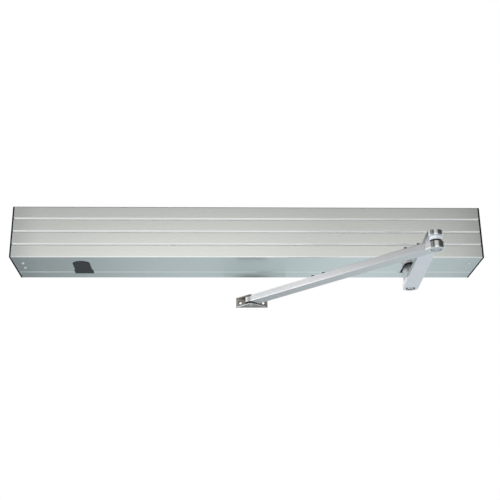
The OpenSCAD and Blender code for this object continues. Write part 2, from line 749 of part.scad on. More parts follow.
module motor_end_bell() color([0.15, 0.15, 0.16])
    translate([motor_x, spindle_y, cover_plate_top + motor_height]) {
    cylinder(r = motor_radius - 1, h = end_bell_height);
    translate([-9, motor_socket_y - spindle_y - 5, end_bell_height - 0.01]) cube([18, 10, 6.01]);
}

// Output shaft of the motor's gearhead with its pinion
module motor_shaft() color([0.75, 0.76, 0.78]) translate([motor_x, spindle_y, 0]) {
    translate([0, 0, fast_gear_z]) gear(pinion_teeth, fast_module, 180 / pinion_teeth, fast_gear_face);
    translate([0, 0, fast_gear_z + fast_gear_face - 0.01])
        cylinder(r = motor_shaft_radius, h = gearbox_top + 17.6 - fast_gear_z - fast_gear_face);
}

module motor_screws() color("gray")
    for (p = motor_screw_places)
        translate([p[0], p[1], cover_plate_top + 3]) cap_screw(m3, 3 + gearbox_cover_thickness - 0.3);

// Magnet disc of the position sensor, on the spindle's top end
module encoder_disc() color([0.3, 0.3, 0.32]) translate([spindle_x, spindle_y, spindle_top])
    cylinder(r = 7, h = 2.4);

module encoder_board() color([0.1, 0.4, 0.25]) {
    translate([spindle_x - 18, spindle_y - 18, spindle_top + 3.4]) cube([36, 36, 1.2]);
    for (x = [-15, 15], y = [-15, 15])
        translate([spindle_x + x, spindle_y + y, upper_bearing_z + bearing_width])
            difference() {
                cylinder(r = 1.6, h = spindle_top + 3.4 - upper_bearing_z - bearing_width);
                translate([0, 0, -1]) cylinder(r = 0.6, h = 3);
            }
}

// Pinion on the spindle that drives the spring's rack
module rack_pinion() color([0.7, 0.7, 0.72]) translate([spindle_x, spindle_y, rack_z]) difference() {
    gear(pinion_teeth, rack_module, 90, rack_face);
    translate([0, 0, -1]) cylinder(r = spindle_radius + press_play, h = rack_face + 2);
}

// Teeth of the rack as an outline, pointing to the spindle, with a gap over the spindle's axis
function rack_points() =
    let (
        pitch = PI * rack_module,
        line = spindle_y + rack_pinion_radius,
        tip = line - rack_module,
        root = line + 1.25 * rack_module,
        half = pitch / 4 - backlash / 2,
        at_tip = half - rack_module * tan(20),
        at_root = half + 1.25 * rack_module * tan(20),
        first = ceil((rack_left - spindle_x + at_root) / pitch - 0.5),
        last = floor((rack_right - spindle_x - at_root) / pitch - 0.5)
    )
    concat([[rack_left, rack_back], [rack_left, root]],
        [for (k = [first : last])
            let (middle = spindle_x + (k + 0.5) * pitch)
            for (p = [[-at_root, root], [-at_tip, tip], [at_tip, tip], [at_root, root]])
                [middle + p[0], p[1]]],
        [[rack_right, root], [rack_right, rack_back]]);

module spring_rack() color([0.72, 0.73, 0.75]) {
    translate([0, 0, rack_z]) linear_extrude(rack_face) polygon(rack_points());
    translate([rack_right - 0.01, rack_rod_y, rack_mid_z]) rotate([0, 90, 0])
        cylinder(r = rack_rod_radius, h = plunger_x - rack_right + 1);
    translate([plunger_x, rack_rod_y, rack_mid_z]) rotate([0, 90, 0])
        cylinder(r = spring_bore - fit_clearance, h = plunger_head);
    translate([spring_start - 0.01, rack_rod_y, rack_mid_z]) rotate([0, 90, 0])
        cylinder(r = spring_coil_radius - spring_wire_radius - air, h = 8);
}

module rack_guide() color([0.9, 0.9, 0.88]) difference() {
    union() {
        translate([spindle_x - 20, rack_back + running_clearance, guide_foot_top])
            cube([44, plate_face - rack_back - running_clearance, rack_face - 0.6]);
        translate([spindle_x - 20, plate_face - 4, cover_plate_top + 0.3])
            cube([44, 4, guide_foot_top - cover_plate_top]);
    }
    for (p = guide_screw_places)
        off_wall(p[0], plate_face + 1, p[1]) cylinder(r = m4 + fit_clearance, h = 6);
}

// Tube of the closing spring with its front flange and two feet on the back plate
module spring_housing() color([0.6, 0.62, 0.63]) difference() {
    union() {
        translate([spring_front - 0.01, rack_rod_y, rack_mid_z]) rotate([0, 90, 0])
            ring(spring_housing_radius, spring_bore, spring_tube_end - spring_front);
        translate([spring_front - spring_flange, spring_flange_front, spring_foot_z])
            cube([spring_flange, plate_face - spring_flange_front, rack_mid_z + 26 - spring_foot_z]);
        translate([spring_front - spring_flange - 10, plate_face - 4, spring_foot_z])
            cube([10.01, 4, rack_mid_z + 26 - spring_foot_z]);
        translate([spring_tube_end - 14, rack_rod_y + spring_housing_radius - 1, rack_mid_z - 31])
            cube([14, plate_face - rack_rod_y - spring_housing_radius + 1, 62]);
    }
    translate([spring_front - spring_flange - 1, rack_rod_y, rack_mid_z]) rotate([0, 90, 0])
        cylinder(r = rack_rod_radius + running_clearance, h = spring_flange + 2);
    for (p = spring_screw_places)
        off_wall(p[0], plate_face + 1, p[1]) cylinder(r = m5 + fit_clearance, h = 12);
}

module spring_housing_screws() color("gray") {
    for (i = [0 : 1])
        off_wall(spring_screw_places[i][0], plate_face - 4, spring_screw_places[i][1])
            cap_screw(m5, 4 + back_plate_thickness - 0.4);
    for (i = [2 : 3])
        off_wall(spring_screw_places[i][0], rack_rod_y + spring_housing_radius - 1, spring_screw_places[i][1])
            cap_screw(m5, plate_face - rack_rod_y - spring_housing_radius + 1 + back_plate_thickness - 0.4);
    for (p = guide_screw_places)
        off_wall(p[0], plate_face - 4, p[1]) cap_screw(m4, 4 + back_plate_thickness - 0.4);
}

// Rings of points along the spring's helix, which closes up at both ends
function spring_rings() =
    let (count = spring_turns * spring_rings_per_turn, reach = spring_length - 2 * spring_wire_radius - 0.4)
    [for (i = [0 : count])
        let (a = i * 360 / spring_rings_per_turn,
             x = spring_start + 0.2 + spring_wire_radius + reach * i / count)
        [for (s = [0 : spring_ring_sides - 1])
            let (b = s * 360 / spring_ring_sides, r = spring_coil_radius + spring_wire_radius * cos(b))
            [x + spring_wire_radius * sin(b), rack_rod_y + r * cos(a), rack_mid_z + r * sin(a)]]];

module closing_spring() color([0.3, 0.31, 0.33]) {
    rings = spring_rings();
    n = spring_ring_sides;
    last = len(rings) - 1;
    polyhedron(
        [for (r = rings) for (p = r) p],
        concat(
            [for (i = [0 : last - 1], s = [0 : n - 1])
                [i * n + s, i * n + (s + 1) % n, (i + 1) * n + (s + 1) % n]],
            [for (i = [0 : last - 1], s = [0 : n - 1])
                [i * n + s, (i + 1) * n + (s + 1) % n, (i + 1) * n + s]],
            [for (s = [1 : n - 2]) [0, s + 1, s]],
            [for (s = [1 : n - 2]) [last * n, last * n + s, last * n + s + 1]]));
}

module spring_adjuster() color([0.72, 0.73, 0.75]) translate([spring_end, rack_rod_y, rack_mid_z])
    rotate([0, 90, 0])
    difference() {
        union() {
            cylinder(r = spring_bore - fit_clearance, h = adjuster_length - 0.5);
            cylinder(r = 7, h = adjuster_length + 5, $fn = 6);
        }
        translate([0, 0, adjuster_length]) cylinder(r = 4, h = 6, $fn = 6);
    }

module control_tray() color([0.16, 0.17, 0.18]) difference() {
    union() {
        translate([tray_x, plate_face - tray_rim, -tray_height / 2]) difference() {
            cube([tray_length, tray_rim, tray_height]);
            translate([2, -1, 2]) cube([tray_length - 4, tray_rim + 1 - tray_base, tray_height - 4]);
        }
        for (p = tray_screw_places)
            off_wall(p[0], plate_face - 0.01, p[1]) cylinder(r = 4.5, h = plate_face - board_y - 0.01);
    }
    for (p = tray_screw_places)
        off_wall(p[0], plate_face + 1, p[1]) cylinder(r = m4 + fit_clearance, h = plate_face - board_y + 2);
}

module control_board() color([0.08, 0.35, 0.22]) difference() {
    translate([tray_x + 4, board_front, -tray_height / 2 + 4])
        cube([tray_length - 8, board_thickness, tray_height - 8]);
    for (p = tray_screw_places)
        off_wall(p[0], board_y + 1, p[1]) cylinder(r = m4 + fit_clearance, h = board_thickness + 2);
}

// Puts a block on the front of the control board, from its left end and its middle height
module on_board(x, z, size) {
    translate([tray_x + x, board_front - size[1], z]) cube(size);
}

module board_components() color([0.12, 0.12, 0.13]) {
    for (i = [0 : 2]) on_board(24 + i * relay_pitch, 14, relay_size);
    for (i = [0 : 1])
        off_wall(tray_x + 100 + i * 22, board_front, 24)
            cylinder(r = board_capacitor_radius, h = board_capacitor_length);
    off_wall(tray_x + 92, board_front, -2) cylinder(r = 5, h = 16);
    on_board(112, -14, [14, 1.6, 14]);
    on_board(84, -18, [10, 1.4, 8]);
    on_board(146, -18, [44, 4, 44]);
    for (i = [0 : 7]) on_board(146 + i * 6, -18, [2, 26, 44]);
    for (i = [0 : 3]) off_wall(tray_x + 30 + i * 12, board_front, -4) cylinder(r = 3, h = 8);
}

module board_terminals() color([0.15, 0.5, 0.25])
    for (i = [0 : 4])
        translate([first_terminal_x + i * terminal_pitch, board_front - 12, terminal_underside])
            difference() {
                cube([26, 12, 10]);
                for (j = [0 : 4]) translate([2 + j * 4.7, -1, 3]) cube([3, 5, 4]);
            }

module module_screws() color("gray") {
    for (p = tray_screw_places)
        off_wall(p[0], board_front, p[1])
            cap_screw(m4, plate_face - board_front + back_plate_thickness - 0.4);
    for (p = supply_screw_places)
        off_wall(p[0], plate_face - supply_sheet, p[1])
            cap_screw(m4, supply_sheet + back_plate_thickness - 0.4);
}

// Power supply: a folded base with its board, transformer, capacitors and terminal strip
module power_supply() color([0.7, 0.71, 0.72]) difference() {
    translate([supply_x, 0, 0]) {
        translate([-supply_foot, plate_face - supply_sheet, -supply_height / 2])
            cube([supply_length + 2 * supply_foot, supply_sheet, supply_height]);
        for (x = [0, supply_length - supply_sheet])
            translate([x, plate_face - supply_depth, -supply_height / 2])
                cube([supply_sheet, supply_depth - 0.01, supply_height]);
        translate([supply_sheet, plate_face - 8, -supply_height / 2 + 3])
            cube([supply_length - 2 * supply_sheet, 1.6, supply_height - 6]);
        for (x = [12, supply_length - 12], z = [-30, 30])
            translate([x, 0, z]) off_wall(0, plate_face - supply_sheet, 0)
                cylinder(r = 3, h = 6.8 - supply_sheet + 0.01);
        translate([60, plate_face - 44, -22]) cube([38, 36.01, 44]);
        for (z = [-24, 24]) off_wall(126, plate_face - 7.99, z) cylinder(r = 12, h = 34);
        translate([24, plate_face - 30, -18]) cube([22, 22.01, 36]);
        translate([4, plate_face - 22, -40]) cube([12, 14.01, 70]);
    }
    for (p = supply_screw_places)
        off_wall(p[0], plate_face + 1, p[1]) cylinder(r = m4 + fit_clearance, h = 4);
}

module power_supply_cover() color([0.74, 0.75, 0.76]) difference() {
    translate([supply_x + supply_sheet + 0.1, plate_face - supply_depth, -supply_height / 2 - supply_sheet])
        difference() {
            cube([supply_length - 2 * supply_sheet - 0.2, supply_depth - supply_sheet - 0.1,
                  supply_height + 2 * supply_sheet]);
            translate([-1, supply_sheet, supply_sheet])
                cube([supply_length + 2, supply_depth, supply_height]);
        }
    for (i = [0 : 9])
        translate([supply_x + 14 + i * 14, plate_face - supply_depth - 1, -26])
            cube([6, supply_sheet + 2, 52]);
}

module mains_terminal() color([0.88, 0.87, 0.82]) difference() {
    translate([mains_terminal_x, plate_face - 18, -14]) cube([mains_terminal_length, 18, 28]);
    for (i = [0 : 2])
        translate([mains_terminal_x + 8 + i * 13, plate_face - 19, -7]) cube([7, 8, 14]);
}

module earth_stud() color([0.8, 0.68, 0.35]) {
    off_wall(earth_place[0], plate_face, earth_place[1]) {
        translate([0, 0, -back_plate_thickness + 0.4]) cylinder(r = m4, h = 16);
        difference() {
            cylinder(r = 4, h = 3.2, $fn = 6);
            translate([0, 0, -1]) cylinder(r = m4 - 0.01, h = 5);
        }
        translate([0, 0, 3.2]) ring(5, m4 - 0.01, 1);
    }
}

module cable_grommet() color([0.1, 0.1, 0.1]) off_wall(cable_entry_x, -0.2, 0) {
    ring(grommet_bore - 0.05, cable_hole_radius, back_plate_thickness + 4);
    translate([0, 0, back_plate_thickness + 0.2]) ring(grommet_flange_radius, cable_hole_radius, 2.4);
}

module mains_cable() color([0.85, 0.45, 0.1])
    cable([[mains_terminal_x + mains_terminal_length, plate_face - 9, 0], [supply_x, plate_face - 9, 0]],
          mains_cable_radius);

module supply_cable() color([0.75, 0.1, 0.1])
    cable([[supply_x + supply_length, cable_run_y, cable_run_z],
           [supply_wire_x, cable_run_y, cable_run_z],
           [supply_wire_x, cable_run_y, terminal_underside]], cable_radius);

// From the board's last terminals to the plug socket on the motor's end bell
module motor_cable() color([0.1, 0.1, 0.12])
    cable([[motor_wire_x, cable_run_y, terminal_underside],
           [motor_wire_x, cable_run_y, cable_run_z],
           [motor_wire_turn_x, cable_run_y, cable_run_z],
           [motor_wire_turn_x, cable_run_y, motor_socket_z],
           [motor_wire_turn_x, motor_socket_y, motor_socket_z],
           [motor_x - 9, motor_socket_y, motor_socket_z]], cable_radius);

// Round extension that carries the arm, on the spindle's lower end
module spindle_extension() color([0.86, 0.87, 0.88]) translate([spindle_x, spindle_y, 0]) difference() {
    union() {
        translate([0, 0, arm_top]) cylinder(r = extension_radius, h = extension_top - arm_top);
        translate([0, 0, arm_top - spigot_length]) cylinder(r = spigot_radius, h = spigot_length + 1);
    }
    translate([0, 0, extension_top - 16.02]) cylinder(r = spindle_radius + press_play, h = 20);
    translate([0, 0, arm_top - spigot_length - 1])
        cylinder(r = arm_screw_radius + fit_clearance, h = extension_drop + 20);
}

module arm_screw() color([0.75, 0.76, 0.77]) {
    head_seat = arm_bottom + recess_depth;
    translate([spindle_x, spindle_y, head_seat]) mirror([0, 0, 1]) difference() {
        union() {
            cylinder(r = recess_radius - 3, h = recess_depth - 0.6);
            translate([0, 0, -(extension_top - 5 - head_seat)])
                cylinder(r = arm_screw_radius, h = extension_top - 5 - head_seat + 0.01);
        }
        translate([0, 0, recess_depth - 3.2]) cylinder(r = 3.5, h = 4, $fn = 6);
    }
}

// Bar with two round ends, drawn from the first centre towards +X, its straight sides a hair inside
// the tangents
module tapered_bar(first, second, length) {
    lean = asin((first - second) / length);
    a = first - 0.01;
    b = second - 0.01;
    circle(r = first);
    translate([length, 0]) circle(r = second);
    polygon([[a * sin(lean), a * cos(lean)], [a * sin(lean), -a * cos(lean)],
             [length + b * sin(lean), -b * cos(lean)], [length + b * sin(lean), b * cos(lean)]]);
}

module main_arm() color([0.8, 0.81, 0.84])
    translate([spindle_x, spindle_y, arm_bottom]) rotate([0, 0, arm_angle]) difference() {
        linear_extrude(arm_thickness) tapered_bar(arm_hub_radius, arm_elbow_radius, arm_length);
        translate([0, 0, arm_thickness - spigot_length - 0.1])
            cylinder(r = spigot_radius + press_play, h = arm_thickness);
        translate([0, 0, -1]) cylinder(r = arm_screw_radius + fit_clearance, h = arm_thickness + 2);
        translate([0, 0, -1]) cylinder(r = recess_radius, h = recess_depth + 1);
        translate([arm_length, 0, -1]) cylinder(r = elbow_pin_radius + press_play, h = arm_thickness - 1);
    }

module at_elbow(z) translate([elbow_x, elbow_y, z]) children();

// Shoulder pin of the elbow: set in the arm, its head in the rod end's recess
module elbow_pin() color([0.72, 0.73, 0.75]) at_elbow(0) {
    head_seat = elbow_eye_bottom + elbow_recess_depth;
    translate([0, 0, head_seat - fit_clearance - 0.01])
        cylinder(r = elbow_pin_radius, h = arm_top - 2.2 - head_seat + fit_clearance + 0.01);
    translate([0, 0, elbow_eye_bottom + 0.5]) difference() {
        cylinder(r = elbow_head_radius, h = elbow_recess_depth - 0.5 - fit_clearance);
        translate([0, 0, -1]) cylinder(r = 4, h = 2.8, $fn = 6);
    }
}

module elbow_washer() color([0.86, 0.9, 0.94]) at_elbow(washer_bottom)
    ring(elbow_washer_radius, elbow_pin_radius + press_play, elbow_washer_thickness);

module elbow_ring() color([0.08, 0.08, 0.08]) at_elbow(ring_bottom)
    ring(elbow_washer_radius - 0.4, elbow_pin_radius + press_play, elbow_ring_thickness - 0.1);

// The rod's own frame: from the elbow towards the shoe
module on_rod() translate([elbow_x, elbow_y, 0]) rotate([0, 0, rod_angle]) children();

// Eye at the elbow with a neck that narrows to the tube's width, and the shank that the tube is
// clamped on
module rod_end() color([0.72, 0.73, 0.75]) on_rod() difference() {
    neck_end = [tube_start - 0.3, rod_width / 2];
    touch = atan2(neck_end[1], neck_end[0]) + acos(elbow_eye_radius / norm(neck_end));
    touch_x = elbow_eye_radius * cos(touch);
    touch_y = elbow_eye_radius * sin(touch) - 0.01;
    union() {
        translate([0, 0, elbow_eye_bottom]) cylinder(r = elbow_eye_radius, h = elbow_eye_height + 0.3);
        translate([0, 0, elbow_eye_bottom + 0.2]) linear_extrude(elbow_eye_height - 0.2)
            polygon([[touch_x, -touch_y], [neck_end[0], -neck_end[1]], neck_end, [touch_x, touch_y]]);
        translate([neck_end[0] - 1, -bar_width / 2, rod_mid_z - bar_height / 2])
            cube([rod_end_shank + 1.3, bar_width, bar_height]);
    }
    translate([0, 0, elbow_eye_bottom - 1])
        cylinder(r = elbow_pin_radius + running_clearance, h = elbow_eye_height + 3);
    translate([0, 0, elbow_eye_bottom - 1])
        cylinder(r = elbow_head_radius + 1, h = elbow_recess_depth + 1);
}

module rod_tube() color([0.84, 0.85, 0.85]) on_rod() difference() {
    translate([tube_start, 0, rod_mid_z]) rotate([90, 0, 90])
        linear_extrude(tube_end - tube_start) difference() {
        polygon([for (corner = [[1, 1, 0], [-1, 1, 90], [-1, -1, 180], [1, -1, 270]])
            for (p = arc(corner[0] * (rod_width / 2 - rod_edge), corner[1] * (rod_height / 2 - rod_edge),
                         rod_edge, corner[2], corner[2] + 90, 4)) p]);
        square([tube_inner_width, tube_inner_height], center = true);
    }
    for (x = concat(set_screw_places, clamp_screw_places))
        translate([x, 0, rod_mid_z]) cylinder(r = set_screw_radius + press_play, h = rod_height);
}

// Set screws through the tube's top: two hold the rod end, two clamp the sliding bar
module rod_set_screws() color([0.12, 0.12, 0.13]) on_rod()
    for (x = concat(set_screw_places, clamp_screw_places))
        difference() {
            translate([x, 0, set_screw_foot])
                cylinder(r = set_screw_radius, h = rod_top + set_screw_stand - set_screw_foot);
            translate([x, 0, rod_top + set_screw_stand - 3]) cylinder(r = 1.7, h = 4, $fn = 6);
        }

module sliding_bar() color([0.75, 0.76, 0.78]) on_rod() difference() {
    union() {
        translate([bar_start, -bar_width / 2, rod_mid_z - bar_height / 2])
            cube([rod_length - bar_start - shoe_eye_radius * 0.5, bar_width, bar_height]);
        translate([rod_length, 0, rod_mid_z - shoe_eye_height / 2])
            cylinder(r = shoe_eye_radius, h = shoe_eye_height);
    }
    translate([rod_length, 0, rod_mid_z - shoe_eye_height])
        cylinder(r = shoe_pin_radius + running_clearance, h = 2 * shoe_eye_height);
}

// Plan of the shoe's tongues, which narrow to a round tip at the pivot
module tongue_outline() {
    left = shoe_centre_x - shoe_width / 2;
    right = shoe_centre_x + shoe_width / 2;
    difference() {
        union() {
            translate([shoe_x, shoe_y]) circle(r = shoe_tip_radius);
            for (end = [[left, 1], [right, -1]]) {
                run = [end[0] - shoe_x, -shoe_y];
                reach = norm(run);
                turn = atan2(run[1], run[0]) + end[1] * acos(shoe_tip_radius / reach);
                polygon([[end[0], 0], [shoe_x, 0], [shoe_x, shoe_y],
                         [shoe_x + shoe_tip_radius * cos(turn), shoe_y + shoe_tip_radius * sin(turn)]]);
            }
        }
        translate([shoe_x, shoe_y]) circle(r = shoe_pin_radius + press_play);
    }
}

module shoe() color([0.33, 0.31, 0.29]) {
    difference() {
        union() {
            translate([shoe_centre_x - shoe_width / 2, -shoe_thickness, shoe_bottom])
                cube([shoe_width, shoe_thickness, shoe_height]);
            translate([0, 0, shoe_tongue_bottom]) linear_extrude(shoe_thickness) tongue_outline();
            translate([0, 0, shoe_bottom]) linear_extrude(shoe_lower_thickness) tongue_outline();
        }
        for (side = [-1, 1])
            translate([shoe_centre_x + side * shoe_hole_spacing / 2, 0, shoe_hole_z]) rotate([90, 0, 0]) {
                translate([0, 0, -1]) cylinder(r = shoe_hole_radius, h = shoe_thickness + 2);
                translate([0, 0, shoe_thickness - shoe_countersink])
                    cylinder(r1 = shoe_hole_radius, r2 = shoe_hole_radius + shoe_countersink + 0.5,
                             h = shoe_countersink + 0.5);
            }
    }
}

// Pin through both tongues, its lower end riveted almost flush
module shoe_pin() color([0.6, 0.6, 0.62]) translate([shoe_x, shoe_y, shoe_bottom + spacer_gap])
    cylinder(r = shoe_pin_radius, h = shoe_height + 0.5);

// Spacers that keep the bar's eye midway between the shoe's two tongues
module shoe_spacer() color([0.2, 0.2, 0.2]) translate([shoe_x, shoe_y, 0])
    for (span = [[shoe_bottom + shoe_lower_thickness, rod_mid_z - shoe_eye_height / 2],
                 [shoe_eye_top, shoe_tongue_bottom]])
        translate([0, 0, span[0] + spacer_gap])
            ring(shoe_pin_radius + 3, shoe_pin_radius + press_play, span[1] - span[0] - 2 * spacer_gap);

back_plate();
front_cover();
end_cap_left();
end_cap_right();
cover_screws();
end_cap_screws();
spindle_opening_plug();
gearbox_housing();
gearbox_cover();
gearbox_cover_screws();
gearbox_mounting_screws();
spindle();
lower_spindle_bearing();
upper_spindle_bearing();
bearing_bridge();
bridge_screws();
output_gear();
countershaft();
intermediate_gear();
countershaft_bearings();
motor_housing();
motor_end_bell();
motor_shaft();
motor_screws();
encoder_disc();
encoder_board();
rack_pinion();
spring_rack();
rack_guide();
spring_housing();
closing_spring();
spring_adjuster();
spring_housing_screws();
control_tray();
control_board();
board_components();
board_terminals();
module_screws();
power_supply();
power_supply_cover();
mains_terminal();
earth_stud();
cable_grommet();
mains_cable();
supply_cable();
motor_cable();
spindle_extension();
arm_screw();
main_arm();
elbow_pin();
elbow_washer();
elbow_ring();
rod_end();
rod_tube();
rod_set_screws();
sliding_bar();
shoe();
shoe_pin();
shoe_spacer();
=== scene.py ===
import json
import math

import bmesh
import bpy
from mathutils import Matrix, Vector

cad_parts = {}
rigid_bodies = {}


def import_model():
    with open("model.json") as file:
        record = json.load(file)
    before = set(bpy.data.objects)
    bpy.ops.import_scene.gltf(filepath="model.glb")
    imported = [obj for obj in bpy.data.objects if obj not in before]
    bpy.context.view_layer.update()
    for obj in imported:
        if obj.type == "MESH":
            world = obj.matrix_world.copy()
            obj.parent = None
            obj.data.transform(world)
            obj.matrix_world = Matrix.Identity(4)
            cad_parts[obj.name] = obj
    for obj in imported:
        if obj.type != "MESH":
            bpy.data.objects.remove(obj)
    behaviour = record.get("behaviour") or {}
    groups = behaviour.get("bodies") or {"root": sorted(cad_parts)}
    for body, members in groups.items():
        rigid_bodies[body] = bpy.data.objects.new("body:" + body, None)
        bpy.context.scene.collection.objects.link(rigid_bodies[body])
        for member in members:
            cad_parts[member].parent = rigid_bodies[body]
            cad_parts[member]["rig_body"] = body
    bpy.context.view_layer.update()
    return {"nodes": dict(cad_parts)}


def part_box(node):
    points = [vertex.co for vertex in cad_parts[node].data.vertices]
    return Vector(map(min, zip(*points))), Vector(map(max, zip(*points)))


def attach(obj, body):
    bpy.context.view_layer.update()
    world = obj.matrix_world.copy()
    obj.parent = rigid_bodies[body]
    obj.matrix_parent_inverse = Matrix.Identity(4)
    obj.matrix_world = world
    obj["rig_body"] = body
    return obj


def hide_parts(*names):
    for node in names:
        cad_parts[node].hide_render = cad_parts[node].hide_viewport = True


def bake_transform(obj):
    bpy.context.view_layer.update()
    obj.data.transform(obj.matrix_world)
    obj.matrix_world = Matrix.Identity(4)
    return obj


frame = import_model()
cad_nodes = frame["nodes"]

# The front cover: one aluminium extrusion with V grooves along its front and two round-fronted
# openings in its underside, saw-cut to length, chamfered at the cut ends and clear anodised. It
# hooks behind the back plate's flanges, and its die lines run with the case.


class Value:
    """A socket that takes part in plain arithmetic."""

    def __init__(self, graph, socket):
        self.graph = graph
        self.socket = socket

    def maths(self, operation, first, second):
        return self.graph.node("ShaderNodeMath", {"operation": operation}, {0: first, 1: second})

    def __add__(self, other):
        return self.maths("ADD", self, other)

    __radd__ = __add__

    def __mul__(self, other):
        return self.maths("MULTIPLY", self, other)

    __rmul__ = __mul__

    def __sub__(self, other):
        return self.maths("SUBTRACT", self, other)

    def __rsub__(self, other):
        return self.maths("SUBTRACT", other, self)


class Graph:
    """A node tree, with one method that adds a node, sets it and feeds it."""

    def node(self, kind, settings, sockets, output=0):
        made = self.tree.nodes.new(kind)
        for name, value in settings.items():
            setattr(made, name, value)
        for socket, value in sockets.items():
            self.feed(made.inputs[socket], value)
        return Value(self, made.outputs[output])

    def feed(self, socket, value):
        if isinstance(value, Value):
            self.tree.links.new(value.socket, socket)
        else:
            socket.default_value = value


class Finish(Graph):
    """A surface finish: a Principled shader and what varies it over the surface."""

    def __init__(self, name, **constants):
        self.material = bpy.data.materials.new(name)
        self.material.use_nodes = True
        self.tree = self.material.node_tree
        self.shader = self.tree.nodes["Principled BSDF"]
        for socket, value in constants.items():
            self.shader.inputs[socket.replace("_", " ")].default_value = value

    def varies(self, **sockets):
        for name, value in sockets.items():
            self.feed(self.shader.inputs[name.replace("_", " ")], value)

    def place(self):
        """The point on the object, in metres."""
        return self.node("ShaderNodeTexCoord", {}, {}, output="Object")

    def cells(self, size, centre=(0, 0, 0), turn=0.0):
        """The point on the object about a centre, counted in cells of a size."""
        return self.node("ShaderNodeMapping", {"vector_type": "TEXTURE"}, {
            "Vector": self.place(), "Location": centre, "Rotation": (0, 0, turn), "Scale": size})

    def noise(self, size, detail=3.0, **layout):
        return self.node("ShaderNodeTexNoise", {}, {
            "Vector": self.cells(size, **layout), "Scale": 1.0, "Detail": detail})

    def along(self, axis, **layout):
        """One of the point's coordinates, in metres or in cells."""
        cells = self.cells(**layout) if layout else self.place()
        return self.node("ShaderNodeSeparateXYZ", {}, {0: cells}, output="XYZ".index(axis))

    def blend(self, factor, first, second):
        """From the first colour to the second."""
        start, end = ((*c, 1) if isinstance(c, tuple) else c for c in (first, second))
        return self.node("ShaderNodeMix", {"data_type": "RGBA"}, {
            0: factor, 6: start, 7: end}, output=2)

    def step(self, value, low, high):
        """0 below low, 1 above high and smooth between."""
        return self.node("ShaderNodeMapRange", {"interpolation_type": "SMOOTHSTEP"}, {
            "Value": value, "From Min": low, "From Max": high})

    def relief(self, height, depth):
        """Bumps as deep as depth, in metres."""
        bumps = self.node("ShaderNodeBump", {}, {"Distance": depth, "Height": height})
        self.varies(Normal=bumps)


def place_in_scene(name, data):
    placed = bpy.data.objects.new(name, data)
    bpy.context.scene.collection.objects.link(placed)
    return placed


def settle(piece):
    """Turns a piece's modifiers into its plain mesh."""
    graph = bpy.context.evaluated_depsgraph_get()
    graph.update()
    mesh = bpy.data.meshes.new_from_object(piece.evaluated_get(graph))
    piece.modifiers.clear()
    piece.data = mesh
    mesh.name = piece.name


def stand_for(piece, node):
    """The piece rides where this CAD node rides and is shown in its place."""
    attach(piece, cad_nodes[node]["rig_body"])
    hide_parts(node)
    return piece


def finished(shell, name, finish, edge, segments=2, sharp=30):
    """An object from a mesh under construction, its sharp edges broken by a small radius."""
    mesh = bpy.data.meshes.new(name)
    shell.to_mesh(mesh)
    shell.free()
    mesh.materials.append(finish.material)
    for face in mesh.polygons:
        face.use_smooth = True
    mesh.set_sharp_from_angle(angle=math.radians(sharp))
    piece = place_in_scene(name, mesh)
    bevel = piece.modifiers.new("edges", "BEVEL")
    bevel.width = edge
    bevel.segments = segments
    bevel.limit_method = "ANGLE"
    bevel.angle_limit = math.radians(sharp)
    flats = piece.modifiers.new("flats stay flat", "WEIGHTED_NORMAL")
    flats.weight = 100
    flats.keep_sharp = True
    settle(piece)
    return piece


same_point = 2e-6
same_plane = math.radians(0.6)


def welded(node):
    """A CAD node's surface as one closed skin."""
    shell = bmesh.new()
    shell.from_mesh(cad_nodes[node].data)
    bmesh.ops.remove_doubles(shell, verts=shell.verts, dist=same_point)
    bmesh.ops.dissolve_limit(shell, angle_limit=same_plane, verts=shell.verts, edges=shell.edges)
    return shell


cover_low, cover_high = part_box("front_cover")
cover_end, underside = cover_high.x, cover_low.z
anodised = Finish("clear_anodised_aluminium", Metallic=1.0)
die_lines = anodised.noise((0.9, 0.0016, 0.0016), detail=4.0)
fine_lines = anodised.noise((0.15, 0.0004, 0.0004), detail=2.0)
clouding = anodised.noise((0.4, 0.07, 0.07), detail=2.0)
extruded = anodised.blend(die_lines * 0.5 + clouding * 0.5,
                          (0.70, 0.715, 0.695), (0.79, 0.80, 0.78))
# The cover's colour darkens towards both cut ends, the right end less: painted shade.
painted_shade_at_ends = (1 - anodised.step(anodised.along("X"), -0.50, -0.43)
            + anodised.step(anodised.along("X"), 0.44, 0.50) * 0.6)
above_foot = anodised.step(anodised.along("Z"), underside + 0.0002, underside + 0.001)
anodised.varies(Base_Color=anodised.blend(painted_shade_at_ends, extruded, (0.58, 0.60, 0.59)),
                Roughness=above_foot * 0.12 + 0.11 + clouding * 0.05 + fine_lines * 0.05)
anodised.relief(die_lines * 0.7 + fine_lines * 0.3, 0.000004)


def sawn(node):
    """The welded node with its outer edges at the saw cuts chamfered."""
    saw_chamfer, corner_reach, same_cut = 0.0012, 0.0023, 1e-5
    shell = welded(node)
    low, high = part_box(node)
    rim = []
    for edge in shell.edges:
        a, b = (v.co for v in edge.verts)
        at_cut = all(abs(abs(p.x) - cover_end) < same_cut for p in (a, b))
        outside = any(all(abs(p[axis] - side[axis]) < corner_reach for p in (a, b))
                      for axis, side in ((1, low), (2, low), (2, high)))
        if at_cut and outside:
            rim.append(edge)
    bmesh.ops.bevel(shell, geom=rim, offset=saw_chamfer, segments=1, profile=0.5,
                    affect="EDGES", clamp_overlap=True)
    return shell


def extrusion(node):
    """A length of the case's extrusion, sawn and anodised, which stands for its CAD node."""
    return stand_for(finished(sawn(node), node + "_finished", anodised, 0.0002, 1), node)


